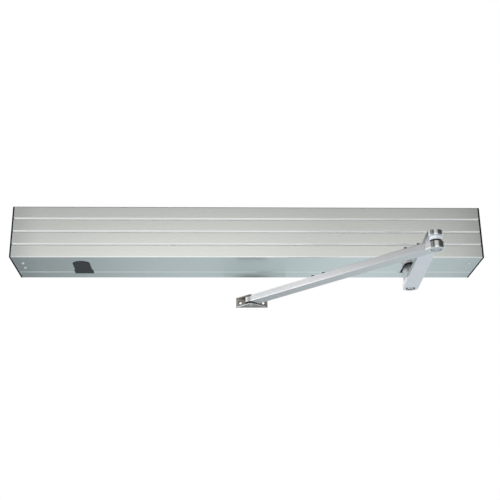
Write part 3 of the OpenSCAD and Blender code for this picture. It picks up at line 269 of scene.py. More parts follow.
cover = extrusion("front_cover")
# The groove flanks that look down take a lighter, rougher copy of the aluminium, less metallic
# right of the middle: a painted highlight along each groove.
flank = Finish("groove_flank_aluminium")
etching = flank.noise((0.3, 0.0008, 0.0008))
flank.varies(Base_Color=flank.blend(etching, (0.74, 0.755, 0.74), (0.82, 0.83, 0.81)),
             Roughness=0.3 + etching * 0.1,
             Metallic=1 - flank.step(flank.along("X"), -0.05, 0.2) * 0.6)
flank.relief(etching, 0.000004)
cover.data.materials.append(flank.material)
groove_depth, groove_reach, looks_down = 0.003, 0.05, -0.3
for face in cover.data.polygons:
    in_groove = (face.center.y < cover_low.y + groove_depth
                 and abs(face.center.z) < groove_reach)
    face.material_index = int(in_groove and face.normal.z < looks_down)

# The back plate: a second extrusion, screwed to the wall, whose two flanges close the case at
# the top and the underside behind a chamfered joint line. Same alloy and finish as the cover.
extrusion("back_plate")

# The end caps: steel plates, black powder coated, one at each end. Inside, each has a foot that
# is screwed to the back plate, and a tab that the cover's screws are driven into.


def eased(node, finish, edge, segments=2):
    """A CAD node with its sharp edges broken, which stands for it."""
    return stand_for(finished(welded(node), node + "_finished", finish, edge, segments), node)


powder = Finish("black_powder_coat", Specular_IOR_Level=0.02)
grain = powder.noise((0.0007, 0.0007, 0.0007), detail=2.0)
powder.varies(Base_Color=powder.blend(grain, (0.006, 0.007, 0.009), (0.014, 0.016, 0.019)),
              Roughness=0.38 + grain * 0.2)
powder.relief(grain, 0.00003)
for cap in ("end_cap_left", "end_cap_right"):
    eased(cap, powder, 0.0005)

# The spindle opening plug: black glass-filled nylon, moulded with a fine spark-eroded grain,
# pushed into the opening that this hand of the operator leaves empty.
nylon = Finish("charcoal_nylon", Specular_IOR_Level=0.25)
spark = nylon.noise((0.0005, 0.0005, 0.0005), detail=4.0)
flow = nylon.noise((0.02, 0.012, 0.02))
nylon.varies(Base_Color=nylon.blend(flow, (0.010, 0.013, 0.015), (0.019, 0.023, 0.026)),
             Roughness=0.46 + spark * 0.16)
nylon.relief(spark, 0.00002)
eased("spindle_opening_plug", nylon, 0.0005, 3)

# The cover screws: pan-headed steel screws with a cross recess, nickel plated, two up through
# the cover's underside into each end cap.


class Pattern(Graph):
    """A Geometry Nodes tree that builds one thing at every point it is given, from named sizes."""

    def __init__(self, name, **sizes):
        self.tree = bpy.data.node_groups.new(name, "GeometryNodeTree")
        face = self.tree.interface
        face.new_socket("Points", in_out="INPUT", socket_type="NodeSocketGeometry")
        face.new_socket("Geometry", in_out="OUTPUT", socket_type="NodeSocketGeometry")
        self.keys = {}
        for label, usual in sizes.items():
            kind = "NodeSocketInt" if isinstance(usual, int) else "NodeSocketFloat"
            socket = face.new_socket(label, in_out="INPUT", socket_type=kind)
            socket.default_value = usual
            self.keys[label] = socket.identifier
        self.given = self.tree.nodes.new("NodeGroupInput")
        self.end = self.tree.nodes.new("NodeGroupOutput")

    def size(self, label):
        return Value(self, self.given.outputs[label])

    def join(self, *parts):
        """Several meshes as one."""
        joined = self.tree.nodes.new("GeometryNodeJoinGeometry")
        for part in parts:
            self.tree.links.new(part.socket, joined.inputs[0])
        return Value(self, joined.outputs[0])

    def vector(self, x, y, z):
        return self.node("ShaderNodeCombineXYZ", {}, {0: x, 1: y, 2: z})

    def raised(self, part, z):
        return self.node("GeometryNodeTransform", {}, {
            "Geometry": part, "Translation": self.vector(0.0, 0.0, z)})

    def cut(self, part, *tools):
        """The part less the tools."""
        hole = self.tree.nodes.new("GeometryNodeMeshBoolean")
        hole.operation = "DIFFERENCE"
        hole.solver = "EXACT"
        self.tree.links.new(part.socket, hole.inputs["Mesh 1"])
        for tool in tools:
            self.tree.links.new(tool.socket, hole.inputs["Mesh 2"])
        return Value(self, hole.outputs[0])

    def drum(self, radius, height, z, sides=32, top=None):
        """An upright round solid with its foot at z, tapered where top is given."""
        body = self.node("GeometryNodeMeshCone", {"fill_type": "NGON"}, {
            "Vertices": sides, "Radius Top": radius if top is None else top,
            "Radius Bottom": radius, "Depth": height})
        return self.raised(body, z)

    def block(self, x, y, z):
        return self.node("GeometryNodeMeshCube", {}, {0: self.vector(x, y, z)})

    def toothed(self, radius, height, teeth):
        """An upright solid on zero whose rim is serrated or knurled."""
        rim = self.node("GeometryNodeCurveStar", {}, {
            "Points": teeth, "Inner Radius": radius * 0.93, "Outer Radius": radius})
        upwards = self.node("GeometryNodeCurvePrimitiveLine", {}, {
            "End": self.vector(0.0, 0.0, height)})
        return self.node("GeometryNodeCurveToMesh", {}, {
            "Curve": upwards, "Profile Curve": rim, "Fill Caps": True})

    def at_points(self, part, finish, smooth=35):
        """Ends the tree with the part at every point, in one finish."""
        turn = self.node("GeometryNodeInputNamedAttribute", {"data_type": "FLOAT_VECTOR"}, {
            "Name": "turn"})
        placed = self.node("GeometryNodeInstanceOnPoints", {}, {
            "Points": self.size("Points"), "Instance": part,
            "Rotation": self.node("FunctionNodeEulerToRotation", {}, {0: turn})})
        real = self.node("GeometryNodeRealizeInstances", {}, {0: placed})
        clad = self.node("GeometryNodeSetMaterial", {}, {
            "Geometry": real, "Material": finish.material})
        self.tree.links.new(clad.socket, self.end.inputs[0])
        self.smooth = smooth

    def make(self, name, places, turns, **sizes):
        """The pattern built at the places, as a plain mesh."""
        mesh = bpy.data.meshes.new(name)
        mesh.from_pydata([tuple(place) for place in places], [], [])
        mesh.attributes.new("turn", "FLOAT_VECTOR", "POINT")
        for point, turn in zip(mesh.attributes["turn"].data, turns):
            point.vector = turn
        piece = place_in_scene(name, mesh)
        modifier = piece.modifiers.new(name, "NODES")
        modifier.node_group = self.tree
        for label, value in sizes.items():
            modifier[self.keys[label]] = value
        settle(piece)
        for face in piece.data.polygons:
            face.use_smooth = True
        piece.data.set_sharp_from_angle(angle=math.radians(self.smooth))
        return piece


def islands(node):
    """The boxes of a CAD node's separate solids."""
    shell = bmesh.new()
    shell.from_mesh(cad_nodes[node].data)
    bmesh.ops.remove_doubles(shell, verts=shell.verts, dist=same_point)
    left = set(shell.verts)
    boxes = []
    while left:
        todo = [left.pop()]
        found = []
        while todo:
            vertex = todo.pop()
            found.append(vertex.co.copy())
            for edge in vertex.link_edges:
                other = edge.other_vert(vertex)
                if other in left:
                    left.remove(other)
                    todo.append(other)
        boxes.append((Vector(min(p[i] for p in found) for i in range(3)),
                      Vector(max(p[i] for p in found) for i in range(3))))
    shell.free()
    return sorted(boxes, key=lambda pair: tuple(round(v, 5) for v in pair[0]))


nickel = Finish("nickel_plated_screws", Metallic=1.0)
rubbed = nickel.noise((0.0016, 0.0016, 0.0016))
nickel.varies(Base_Color=nickel.blend(rubbed, (0.66, 0.66, 0.65), (0.80, 0.80, 0.79)),
              Roughness=0.20 + rubbed * 0.2)
nickel.relief(rubbed, 0.000015)
pan_screw = Pattern("pan_head_screw", head=0.0026, rise=0.0020, shank=0.0017, length=0.007)
head, rise, length = pan_screw.size("head"), pan_screw.size("rise"), pan_screw.size("length")
dome = pan_screw.join(
    pan_screw.drum(head, rise * 0.4, 0.0),
    pan_screw.drum(head, rise * 0.35, rise * 0.4, top=head * 0.82),
    pan_screw.drum(head * 0.82, rise * 0.25, rise * 0.75, top=head * 0.5))
cross = [pan_screw.raised(pan_screw.block(head * x, head * y, rise), rise * 0.9)
         for x, y in ((1.15, 0.24), (0.24, 1.15))]
pan_screw.at_points(pan_screw.join(
    pan_screw.cut(dome, *cross),
    pan_screw.drum(pan_screw.size("shank"), length, length * -1.0)), nickel)
screws = islands("cover_screws")
head_down = (math.pi, 0, 0.4)
stand_for(pan_screw.make("cover_screws_finished",
                         [((a.x + b.x) / 2, (a.y + b.y) / 2, underside) for a, b in screws],
                         [head_down] * len(screws)), "cover_screws")

# The arm screw: turned steel, nickel plated as the cover screws are. It holds the arm's hub up
# on its extension, and has a hexagon socket in its head.
eased("arm_screw", nickel, 0.0003)

# The main arm and the round extension it hangs from: forged and turned aluminium, bead blasted
# and anodised natural, the arm's edges well rounded. Its hub hides the screw head in a recess.
blasted = Finish("blasted_aluminium", Metallic=0.6)
beads = blasted.noise((0.0006, 0.0006, 0.0006), detail=2.0)
tone = blasted.noise((0.05, 0.05, 0.05))
blasted.varies(Base_Color=blasted.blend(tone, (0.80, 0.80, 0.83), (0.86, 0.86, 0.885)),
               Roughness=0.36 + beads * 0.12)
blasted.relief(beads, 0.000012)
arm_foot, eye_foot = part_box("main_arm")[0].z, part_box("rod_end")[0].z
milled = Finish("milled_aluminium", Metallic=1.0)
cutter = milled.noise((0.2, 0.2, 0.0005), detail=2.0)
height = milled.along("Z")
# Light bands at the foot of the rod end and along the arm's lowest edge: painted highlights on the
# lower rims.
painted_highlight_rims = (1 - milled.step(height, eye_foot, eye_foot + 0.0035)
               + milled.step(height, arm_foot - 0.002, arm_foot - 0.001)
               - milled.step(height, arm_foot + 0.0005, arm_foot + 0.003))
fresh_cut = milled.blend(cutter, (0.38, 0.385, 0.39), (0.50, 0.505, 0.51))
milled.varies(Base_Color=milled.blend(painted_highlight_rims, fresh_cut, (0.82, 0.825, 0.83)),
              Roughness=0.12 + cutter * 0.1)
milled.relief(cutter, 0.000008)
# The arm's sawn sides are coloured dark at the elbow end and light towards the hub: painted shade.
sawn_side = Finish("sawn_arm_side", Metallic=1.0)
blade = sawn_side.noise((0.0004, 0.2, 0.2), detail=2.0)
painted_shade_fading_to_hub = sawn_side.step(sawn_side.along("Y"), -0.36, -0.22)
sawn_side.varies(Base_Color=sawn_side.blend(painted_shade_fading_to_hub, (0.16, 0.165, 0.17), (0.70, 0.71, 0.71)),
                 Roughness=0.22 + blade * 0.1)
sawn_side.relief(blade, 0.00001)
arm = eased("main_arm", blasted, 0.0028, 5)
arm.data.materials.append(milled.material)
arm.data.materials.append(sawn_side.material)
blasted_face, milled_face, sawn_face = range(3)
elbow_end, looks_straight_down = -0.35, -0.9
for face in arm.data.polygons:
    lowest_milled = looks_straight_down if face.center.y < elbow_end else looks_down
    if abs(face.normal.x) > 0.97 and abs(face.normal.z) < 0.2:
        face.material_index = sawn_face
    elif face.normal.z > lowest_milled:
        face.material_index = milled_face
    else:
        face.material_index = blasted_face
eased("spindle_extension", blasted, 0.0005)

# The lock washer: spring steel, stamped with a serrated rim and finished in black oxide. Its rim
# shows around the arm screw's head, on the floor of the hub's recess.
black_oxide = Finish("black_oxide", Specular_IOR_Level=0.2)
oil = black_oxide.noise((0.003, 0.003, 0.003))
black_oxide.varies(Base_Color=black_oxide.blend(oil, (0.008, 0.008, 0.009), (0.016, 0.016, 0.018)),
                   Roughness=0.4 + oil * 0.2)
black_oxide.relief(oil, 0.00002)
lock_washer = Pattern("serrated_lock_washer",
                      outside=0.0095, inside=0.007, thickness=0.0009, teeth=30)
thickness = lock_washer.size("thickness")
blank = lock_washer.toothed(lock_washer.size("outside"), thickness, lock_washer.size("teeth"))
bore = lock_washer.drum(lock_washer.size("inside"), thickness * 3.0, thickness * -1.0, sides=40)
lock_washer.at_points(lock_washer.cut(blank, bore), black_oxide)
screw_low, screw_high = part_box("arm_screw")
recess_depth = 0.0045
washer = lock_washer.make("arm_screw_washer", [((screw_low.x + screw_high.x) / 2,
                                                (screw_low.y + screw_high.y) / 2,
                                                arm_foot + recess_depth)], [(math.pi, 0, 0)])
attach(washer, cad_nodes["arm_screw"]["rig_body"])

# The elbow: a headed pin of turned steel, zinc plated and polished, holds the rod end under the
# arm, with a white acetal washer against the arm and a black moulded ring below the washer.
zinc = Finish("bright_zinc_steel", Metallic=1.0)
turning = zinc.noise((0.03, 0.03, 0.0003), detail=2.0)
patches = zinc.noise((0.009, 0.009, 0.009))
zinc.varies(Base_Color=zinc.blend(patches, (0.52, 0.52, 0.53), (0.68, 0.68, 0.69)),
            Roughness=0.09 + patches * 0.08 + turning * 0.05)
zinc.relief(turning, 0.00001)
eased("elbow_pin", zinc, 0.0004)
acetal = Finish("white_acetal")
moulding = acetal.noise((0.004, 0.004, 0.004))
acetal.varies(Base_Color=acetal.blend(moulding, (0.82, 0.87, 0.92), (0.88, 0.92, 0.96)),
              Roughness=0.3 + moulding * 0.1)
acetal.relief(moulding, 0.00001)
eased("elbow_washer", acetal, 0.0008, 3)
black_moulding = Finish("black_moulding")
texture = black_moulding.noise((0.0008, 0.0008, 0.0008))
black_moulding.varies(
    Base_Color=black_moulding.blend(texture, (0.012, 0.012, 0.013), (0.026, 0.026, 0.028)),
    Roughness=0.42 + texture * 0.18)
black_moulding.relief(texture, 0.00002)
eased("elbow_ring", black_moulding, 0.0003)

# The rod: an extruded rectangular aluminium tube with fine ribs along its sides and underside,
# clamped on the rod end and on the sliding bar by set screws from above.
rod_way, rod_length = math.radians(134.382), 0.47
foot, top = (corner.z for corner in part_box("rod_tube"))
pin_low, pin_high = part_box("elbow_pin")
elbow_place = ((pin_low.x + pin_high.x) / 2, (pin_low.y + pin_high.y) / 2, foot)


def drawn_rod(name, at_elbow, at_shoe, top_shade, oxide):
    """The rod's aluminium: its colour changes from elbow to shoe and darkens towards its top, as
    painted light and shade, with a random haze, and it grows less metallic towards the shoe with
    white oxide.
    """
    alloy = Finish(name)
    whole = {"size": (rod_length, 1.0, top - foot), "centre": elbow_place, "turn": rod_way}
    drawn = alloy.noise((0.3, 0.0005, 0.0005), turn=rod_way)
    hazy = alloy.noise((0.09, 0.02, 0.02), turn=rod_way)
    to_shoe = alloy.along("X", **whole)
    tone = alloy.blend(to_shoe, at_elbow, at_shoe)
    haze_and_top_shade = alloy.along("Z", **whole) * top_shade + hazy * 0.08
    alloy.varies(Base_Color=alloy.blend(haze_and_top_shade, tone, (0.25, 0.25, 0.255)),
                 Roughness=0.26 + hazy * 0.06 + drawn * 0.06,
                 Metallic=0.9 - alloy.step(to_shoe, 0.35, 0.9) * oxide)
    alloy.relief(drawn, 0.000015)
    return alloy


def ribbed(shell, across, outward, first, last, width):
    """Cuts fine V grooves along a flat face of the shell, evenly spaced in one direction."""
    rib_pitch, rib_depth = 0.0024, 0.00045
    skin = max(v.co.dot(outward) for v in shell.verts)
    count = int((last - first) / rib_pitch)
    middles = [(first + last) / 2 + (i - count / 2) * rib_pitch for i in range(count + 1)]
    for middle in middles:
        for side in (-width / 2, 0.0, width / 2):
            bmesh.ops.bisect_plane(shell, geom=shell.verts[:] + shell.edges[:] + shell.faces[:],
                                   dist=same_point / 20, plane_co=across * (middle + side),
                                   plane_no=across)
    for vertex in shell.verts:
        from_middle = min(abs(vertex.co.dot(across) - middle) for middle in middles)
        if abs(vertex.co.dot(outward) - skin) < same_point and from_middle < same_point / 2:
            vertex.co -= outward * rib_depth


# The front is painted lighter towards the shoe and the underside darker there: lit and shaded
# copies of one aluminium, painted light and shade.
rod_front = drawn_rod("rod_front_aluminium", (0.72, 0.72, 0.725), (1.0, 1.0, 1.0), 0.3, 0.42)
rod_foot = drawn_rod("rod_underside_aluminium", (0.68, 0.68, 0.685), (0.50, 0.50, 0.505), 0.0, 0.0)
tube = welded("rod_tube")
upwards = Vector((0, 0, 1))
sideways = Vector((math.sin(rod_way), -math.cos(rod_way), 0))
plain_rim, side_groove, foot_groove = 0.0026, 0.0011, 0.0005
for outward in (-sideways, sideways):
    ribbed(tube, upwards, outward, foot + plain_rim, top - plain_rim, side_groove)
near = min(v.co.dot(sideways) for v in tube.verts)
far = max(v.co.dot(sideways) for v in tube.verts)
ribbed(tube, sideways, -upwards, near + plain_rim, far - plain_rim, foot_groove)
rod = stand_for(finished(tube, "rod_tube_finished", rod_front, 0.0001, 1), "rod_tube")
eye = eased("rod_end", milled, 0.0011, 3)
# On the rod end, faces that look down take the brighter nickel: a painted highlight on its
# underside.
for piece, below in ((rod, rod_foot), (eye, nickel)):
    piece.data.materials.append(below.material)
    for face in piece.data.polygons:
        face.material_index = int(face.normal.z < looks_down)
eased("rod_set_screws", black_oxide, 0.0003)
eased("sliding_bar", nickel, 0.0006)

# The shoe: a pressed bracket with a bronze-brown finish, screwed to the door, the upright edge
# faces of its lower tongue in bright nickel. A riveted pin between its tongues carries the sliding
# bar's eye, with black moulded spacers above and below it.
bronze = Finish("dark_bronze", Metallic=0.9)
rub = bronze.noise((0.004, 0.004, 0.004))
bronze.varies(Base_Color=bronze.blend(rub, (0.20, 0.185, 0.17), (0.34, 0.315, 0.29)),
              Roughness=0.28 + rub * 0.2)
bronze.relief(rub, 0.00003)
shoe = eased("shoe", bronze, 0.0005, 3)
shoe.data.materials.append(nickel.material)
tongue_top, clear_of_plate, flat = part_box("shoe")[0].z + 0.002, -0.004, 0.9
for face in shoe.data.polygons:
    on_tongue = face.center.z < tongue_top and face.center.y < clear_of_plate
    face.material_index = int(on_tongue and abs(face.normal.z) < flat)
eased("shoe_pin", zinc, 0.0004)
eased("shoe_spacer", black_moulding, 0.0003)

# The socket screws inside the case: steel cap screws with knurled heads and hexagon sockets,
# zinc plated, that hold the end caps, gearbox, bridge, motor, spring housing, control board and
# supply.
steel = Finish("zinc_plated_screws", Metallic=1.0)
plating = steel.noise((0.002, 0.002, 0.002))
steel.varies(Base_Color=steel.blend(plating, (0.50, 0.51, 0.53), (0.66, 0.67, 0.69)),
             Roughness=0.24 + plating * 0.2)
steel.relief(plating, 0.00002)
cap_screw = Pattern("cap_screw", head=0.0035, rise=0.004, shank=0.002, length=0.01, ridges=22)
head, rise, length = cap_screw.size("head"), cap_screw.size("rise"), cap_screw.size("length")
key_hole = cap_screw.drum(head * 0.52, rise, rise * 0.45, sides=6)
cap_screw.at_points(cap_screw.join(
    cap_screw.cut(cap_screw.toothed(head, rise, cap_screw.size("ridges")), key_hole),
    cap_screw.drum(cap_screw.size("shank"), length, length * -1.0, sides=20)), steel, smooth=50)


def measured(low, high, points):
    """A screw's seat, its turn, and its head's radius and rise and shank's radius and length."""
    end_face = 1e-5
    middle, span = (low + high) / 2, high - low
    along = max(range(3), key=lambda i: span[i])
    others = [i for i in range(3) if i != along]
    radii = {}
    for end, level in ((-1, low[along]), (1, high[along])):
        rim = [p for p in points if abs(p[along] - level) < end_face
               and all(low[i] - end_face < p[i] < high[i] + end_face for i in others)]
        radii[end] = max(max(abs(p[i] - middle[i]) for p in rim) for i in others)
    end = max(radii, key=radii.get)
    head_radius = span[others[0]] / 2
    rise = min(head_radius * 1.15, span[along] * 0.6)
    seat = middle.copy()
    seat[along] = (high if end > 0 else low)[along] - end * rise
    away = Vector([end if i == along else 0 for i in range(3)])
    size = (head_radius, rise, min(radii.values()), span[along] - rise)
    return seat, away.to_track_quat("Z", "Y").to_euler(), tuple(round(s, 5) for s in size)


def screwed(node):
    """Cap screws where a CAD node has them, each as large and turned as there."""
    points = [vertex.co for vertex in cad_nodes[node].data.vertices]
    alike = {}
    for low, high in islands(node):
        seat, turn, size = measured(low, high, points)
        alike.setdefault(size, []).append((seat, turn))
    whole = bmesh.new()
    for size, screws in alike.items():
        batch = cap_screw.make(node, *zip(*screws),
                               **dict(zip(("head", "rise", "shank", "length"), size)))
        whole.from_mesh(batch.data)
        bpy.data.objects.remove(batch)
    mesh = bpy.data.meshes.new(node + "_finished")
    whole.to_mesh(mesh)
    whole.free()
    mesh.materials.append(steel.material)
    stand_for(place_in_scene(node + "_finished", mesh), node)


for node in ("end_cap_screws", "gearbox_cover_screws", "gearbox_mounting_screws",
             "bridge_screws", "motor_screws", "spring_housing_screws", "module_screws"):
    screwed(node)

# The gearbox, its cover, the bearing bridge and the spring housing: aluminium sand castings with
# an as-cast skin, their edges rounded in the mould, their as-cast grey darkened as painted shade
# inside the case. The gearbox's lowest face, which lies over the opening in the underside, is
# coloured black: painted shade in the opening.
cast = Finish("cast_aluminium", Metallic=0.7)
skin = cast.noise((0.0012, 0.0012, 0.0012), detail=4.0)
flow_marks = cast.noise((0.03, 0.03, 0.03))
bare = cast.blend(flow_marks, (0.26, 0.27, 0.28), (0.38, 0.39, 0.40))
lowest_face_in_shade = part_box("gearbox_housing")[0].z
above_shaded_face = cast.step(cast.along("Z"), lowest_face_in_shade + 0.0002, lowest_face_in_shade + 0.0014)
cast.varies(Base_Color=cast.blend(above_shaded_face, (0.02, 0.02, 0.021), bare),
            Roughness=0.5 + skin * 0.2)
cast.relief(skin, 0.00008)
for node in ("gearbox_housing", "gearbox_cover", "bearing_bridge", "spring_housing"):
    eased(node, cast, 0.0007)

# The spindle, gears, rack, shafts, bearings and spring adjuster: turned, hobbed and ground steel,
# lightly greased. The intermediate gear is nylon, the rack guide acetal and the bushes brass.
ground = Finish("machined_steel", Metallic=1.0)
tool_marks = ground.noise((0.02, 0.02, 0.0003), detail=2.0)
grease = ground.noise((0.006, 0.006, 0.006))
ground.varies(Base_Color=ground.blend(grease, (0.50, 0.49, 0.47), (0.68, 0.69, 0.70)),
              Roughness=0.18 + grease * 0.2 + tool_marks * 0.08)
ground.relief(tool_marks, 0.00001)
for node in ("spindle", "output_gear", "rack_pinion", "countershaft", "motor_shaft",
             "spring_rack", "spring_adjuster", "lower_spindle_bearing", "upper_spindle_bearing"):
    eased(node, ground, 0.0002, 1)
gear_nylon = Finish("cream_nylon")
film = gear_nylon.noise((0.004, 0.004, 0.004))
gear_nylon.varies(Base_Color=gear_nylon.blend(film, (0.74, 0.70, 0.58), (0.84, 0.80, 0.68)),
                  Roughness=0.3 + film * 0.2)
gear_nylon.relief(film, 0.00002)
eased("intermediate_gear", gear_nylon, 0.0002, 1)
eased("rack_guide", acetal, 0.0004)
brass = Finish("brass", Metallic=1.0)
tarnish = brass.noise((0.003, 0.003, 0.003))
brass.varies(Base_Color=brass.blend(tarnish, (0.62, 0.44, 0.18), (0.80, 0.62, 0.30)),
             Roughness=0.2 + tarnish * 0.2)
brass.relief(tarnish, 0.00002)
eased("countershaft_bearings", brass, 0.0003)

# The motor and the encoder: a painted steel case with a black end bell, and a magnet disc on the
# spindle that a small green board reads. The control board, green too, is screwed down over its
# black moulded tray and carries black components.
motor_paint = Finish("motor_paint")
peel = motor_paint.noise((0.002, 0.002, 0.002))
motor_paint.varies(
    Base_Color=motor_paint.blend(peel, (0.016, 0.018, 0.022), (0.028, 0.031, 0.036)),
    Roughness=0.28 + peel * 0.14)
motor_paint.relief(peel, 0.00003)
eased("motor_housing", motor_paint, 0.0006)
for node in ("motor_end_bell", "encoder_disc", "control_tray", "board_components"):
    eased(node, black_moulding, 0.0003)
board = Finish("green_board", Coat_Weight=0.4)
weave = board.noise((0.0015, 0.0015, 0.0015))
tracks = board.node("ShaderNodeTexBrick", {}, {
    "Vector": board.cells((0.011, 0.011, 0.0045)), "Scale": 1.0,
    "Mortar Size": 0.04, "Mortar Smooth": 0.1}, output="Fac")
mask = board.blend(weave, (0.012, 0.10, 0.05), (0.02, 0.14, 0.07))
board.varies(Base_Color=board.blend(tracks, mask, (0.03, 0.24, 0.10)),
             Roughness=0.22 + weave * 0.15)
board.relief(tracks, 0.00004)
for node in ("encoder_board", "control_board"):
    eased(node, board, 0.0002, 1)

# The closing spring: a coil of oil-tempered spring steel between the plunger and the adjuster,
# held by nothing but its own push. One end moves with the plunger and the other stays, so its
# length changes as the spindle turns.
spring_steel = Finish("oiled_spring_steel", Metallic=1.0)
temper = spring_steel.noise((0.012, 0.003, 0.003))
spring_steel.varies(
    Base_Color=spring_steel.blend(temper, (0.10, 0.10, 0.11), (0.22, 0.22, 0.235)),
    Roughness=0.25 + temper * 0.2)
spring_steel.relief(temper, 0.00002)
coil = finished(welded("closing_spring"), "closing_spring_finished", spring_steel, 0.0001, 1,
                sharp=60)
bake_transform(coil)
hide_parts("closing_spring")

# The supply side: moulded terminal blocks, a folded zinc-plated supply with its slotted cover,
# a brass earth stud, a rubber grommet at the cable entry, and sheathed cables between them.
for name, first, second, node in (
        ("green_terminals", (0.02, 0.16, 0.05), (0.04, 0.24, 0.08), "board_terminals"),
        ("cream_terminals", (0.70, 0.66, 0.55), (0.80, 0.77, 0.66), "mains_terminal"),
        ("grommet_rubber", (0.010, 0.010, 0.010), (0.022, 0.022, 0.022), "cable_grommet"),
        ("orange_sheath", (0.52, 0.09, 0.008), (0.62, 0.13, 0.015), "mains_cable"),
        ("red_sheath", (0.30, 0.008, 0.006), (0.40, 0.015, 0.012), "supply_cable"),
        ("black_sheath", (0.010, 0.010, 0.012), (0.020, 0.020, 0.023), "motor_cable")):
    moulded = Finish(name)
    mottle = moulded.noise((0.002, 0.002, 0.002))
    moulded.varies(Base_Color=moulded.blend(mottle, first, second),
                   Roughness=0.36 + mottle * 0.2)
    moulded.relief(mottle, 0.00002)
    eased(node, moulded, 0.0003)
eased("earth_stud", brass, 0.0003)
zinc_sheet = Finish("zinc_plated_sheet", Metallic=1.0)
spangle = zinc_sheet.node("ShaderNodeTexVoronoi", {}, {
    "Vector": zinc_sheet.cells((0.006, 0.006, 0.006)), "Scale": 1.0})
zinc_sheet.varies(
    Base_Color=zinc_sheet.blend(spangle, (0.56, 0.58, 0.60), (0.70, 0.71, 0.72)),
    Roughness=0.3 + spangle * 0.16)
zinc_sheet.relief(spangle, 0.00001)
for node in ("power_supply", "power_supply_cover"):
    eased(node, zinc_sheet, 0.0003, 1)

# The studio: a plain pale floor far below, as the floor of the room that the case hangs in, a
# white surround, and pale panels in front and overhead that the metal mirrors. The camera stands
# below the case, in front of it, and looks up at it.


def sheet(name, corners, finish):
    mesh = bpy.data.meshes.new(name)
    mesh.from_pydata(corners, [], [(0, 1, 2, 3)])
    mesh.materials.append(finish.material)
    card = place_in_scene(name, mesh)
    return card


floor_height, reach = -2.1, 9.0
paving = Finish("pale_floor", Roughness=0.9, Emission_Strength=1.0)
mottled = paving.noise((0.4, 0.4, 0.4))
mirrored = paving.node("ShaderNodeLightPath", {}, {}, output="Is Glossy Ray")
seen = paving.node("ShaderNodeLightPath", {}, {}, output="Is Camera Ray")
paving.varies(Base_Color=paving.blend(mottled, (0.76, 0.78, 0.80), (0.78, 0.80, 0.82)),
              Emission_Color=paving.blend(mirrored * 0.6 + seen, (0, 0, 0), (0.55, 0.57, 0.59)))
sheet("floor", [(-reach, -reach, floor_height), (reach, -reach, floor_height),
                (reach, reach, floor_height), (-reach, reach, floor_height)], paving)


def panel(name, corners, glow):
    """A panel whose brightness over its surface is given, seen by the metal alone."""
    finish = Finish(name + "_glow", Base_Color=(0, 0, 0, 1), Specular_IOR_Level=0.0,
                    Emission_Strength=1.0)
    level, dim, bright = glow(finish, *(finish.along(axis) for axis in "XYZ"))
    finish.varies(Emission_Color=finish.blend(level, dim, bright))
    card = sheet(name, corners, finish)
    card.visible_camera = False
    card.visible_diffuse = False
    card.visible_shadow = False


def front_glow(finish, x, y, z):
    dip = 0.34 * finish.step(x, 0.2, 0.55) - 0.56 * finish.step(x, 0.75, 0.95)
    fall = dip + 0.88 * finish.step(x, 1.05, 1.35) + 0.34 * finish.step(x, 1.4, 2.3)
    across = finish.step(x, -2.0, -0.6) * (1 - fall)
    height = 1 - finish.step(z, 0.95, 1.5)
    return across * height, (0.14, 0.16, 0.155), (1.56, 1.55, 1.51)


def overhead_glow(finish, x, y, z):
    return finish.step(z, 2.0, 2.4), (0.20, 0.21, 0.22), (0.30, 0.31, 0.32)


def left_glow(finish, x, y, z):
    return finish.step(y, -1.1, 0.1), (0.48, 0.49, 0.50), (1.15, 1.13, 1.13)


def right_glow(finish, x, y, z):
    return finish.step(y, -0.6, 1.2), (0.10, 0.11, 0.12), (0.45, 0.47, 0.49)


def rear_glow(finish, x, y, z):
    rise = 0.25 * finish.step(x, -2.0, -0.2) - 0.05 * finish.step(x, -0.1, 0.2)
    far_right = 0.15 * finish.step(x, 0.1, 1.1) - 0.14 * finish.step(x, 1.3, 2.2)
    return rise + far_right + 0.265, (0.0, 0.0, 0.0), (1.02, 1.18, 1.24)


def rod_card_glow(finish, x, y, z):
    return finish.step(y, -0.62, 0.02), (0.35, 0.355, 0.36), (1.75, 1.74, 1.74)


def dark_card_glow(finish, x, y, z):
    across = finish.step(x, -0.045, 0.01) * (1 - finish.step(x, 0.02, 0.08))
    spot = across * finish.step(z, -0.09, -0.064)
    return spot, (0.46, 0.54, 0.56), (0.02, 0.02, 0.02)


left, right, front, back, roof, rear_roof = -3.0, 4.2, -3.2, 1.2, 2.4, 2.0
left_foot, right_foot, carpet = -0.3, -0.6, floor_height + 0.02
# A small dark card behind the case's rear edge, unseen by the camera, whose reflection darkens the
# underside near that edge: painted shade.
panel("dark_card", [(-0.05, 0.05, -0.09), (0.09, 0.05, -0.09),
                    (0.09, 0.05, -0.06), (-0.05, 0.05, -0.06)], dark_card_glow)
panel("rod_card", [(-0.62, -0.65, -0.1), (-0.62, 0.15, -0.1),
                   (-0.62, 0.15, 0.4), (-0.62, -0.65, 0.4)], rod_card_glow)
panel("front_panel", [(left, front, floor_height), (right, front, floor_height),
                      (right, front, roof), (left, front, roof)], front_glow)
panel("overhead_panel", [(left, front, roof), (right, front, roof),
                         (right, back, rear_roof), (left, back, rear_roof)], overhead_glow)
panel("left_panel", [(left, front, left_foot), (left, back, left_foot),
                     (left, back, rear_roof), (left, front, roof)], left_glow)
panel("right_panel", [(right, front, right_foot), (right, back, right_foot),
                      (right, back, rear_roof), (right, front, roof)], right_glow)
panel("rear_carpet", [(-reach, back, carpet), (reach, back, carpet),
                      (reach, reach, carpet), (-reach, reach, carpet)], rear_glow)

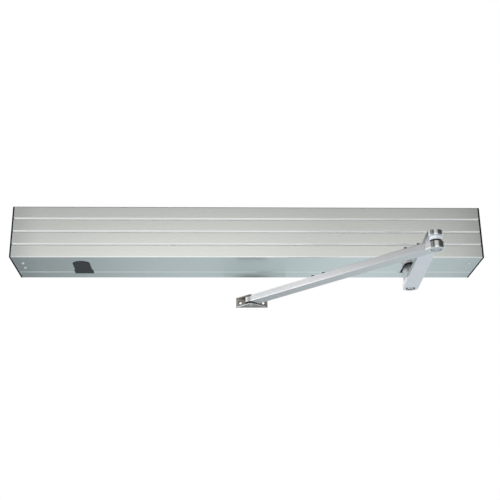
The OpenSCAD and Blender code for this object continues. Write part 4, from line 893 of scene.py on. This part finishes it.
world = bpy.data.worlds.new("surround")
bpy.context.scene.world = world
world.use_nodes = True
surround = Graph()
surround.tree = world.node_tree
cool = surround.tree.nodes["Background"]
surround.feed(cool.inputs["Color"], (0.95, 0.98, 1.0, 1))
surround.feed(cool.inputs["Strength"], 0.75)
white = surround.node("ShaderNodeBackground", {}, {"Color": (1, 1, 1, 1)})
seen, mirrored, through_glass = (
    surround.node("ShaderNodeLightPath", {}, {}, output="Is " + ray + " Ray")
    for ray in ("Camera", "Glossy", "Transmission"))
looked_at = surround.node("ShaderNodeMath", {"operation": "ADD", "use_clamp": True}, {
    0: seen + mirrored, 1: through_glass})
sky = surround.node("ShaderNodeMixShader", {}, {
    0: looked_at, 1: Value(surround, cool.outputs[0]), 2: white})
surround.feed(surround.tree.nodes["World Output"].inputs["Surface"], sky)


def lamp(name, place, aim, size, power, colour):
    """A soft box at a place, facing a point."""
    data = bpy.data.lights.new(name, "AREA")
    data.shape = "RECTANGLE"
    data.size, data.size_y = size
    data.energy = power
    data.color = colour
    box = place_in_scene(name, data)
    box.location = place
    box.rotation_euler = (Vector(aim) - Vector(place)).to_track_quat("-Z", "Y").to_euler()
    box.visible_glossy = False


lamp("key", (-1.2, -2.4, 0.9), (0, 0, 0), (1.2, 1.0), 8, (1.0, 0.99, 0.97))
lamp("rod_light", (-0.45, -0.4, -0.15), (0.03, -0.05, -0.116), (0.3, 0.3), 1.9, (1.0, 0.98, 0.97))

photo_side, focal_pixels, sensor = 500, 920.89, 36.0
camera_place = Vector((-0.07114, -1.92854, -0.71557))
look_up, look_right, roll = (math.radians(angle) for angle in (20.5532, 2.3465, -0.7482))
forward = Vector((math.cos(look_up) * math.sin(look_right),
                  math.cos(look_up) * math.cos(look_right), math.sin(look_up)))
level = Vector((math.cos(look_right), -math.sin(look_right), 0))
upright = level.cross(forward)
rightward = math.cos(roll) * level + math.sin(roll) * upright
upward = math.cos(roll) * upright - math.sin(roll) * level
lens = bpy.data.cameras.new("camera")
lens.sensor_width = sensor
lens.lens = focal_pixels / photo_side * sensor
camera = place_in_scene("camera", lens)
facing = Matrix((rightward, upward, -forward)).transposed().to_4x4()
camera.matrix_world = Matrix.Translation(camera_place) @ facing
bpy.context.scene.camera = camera
bpy.context.scene.view_settings.view_transform = "Standard"

bpy.context.view_layer.update()
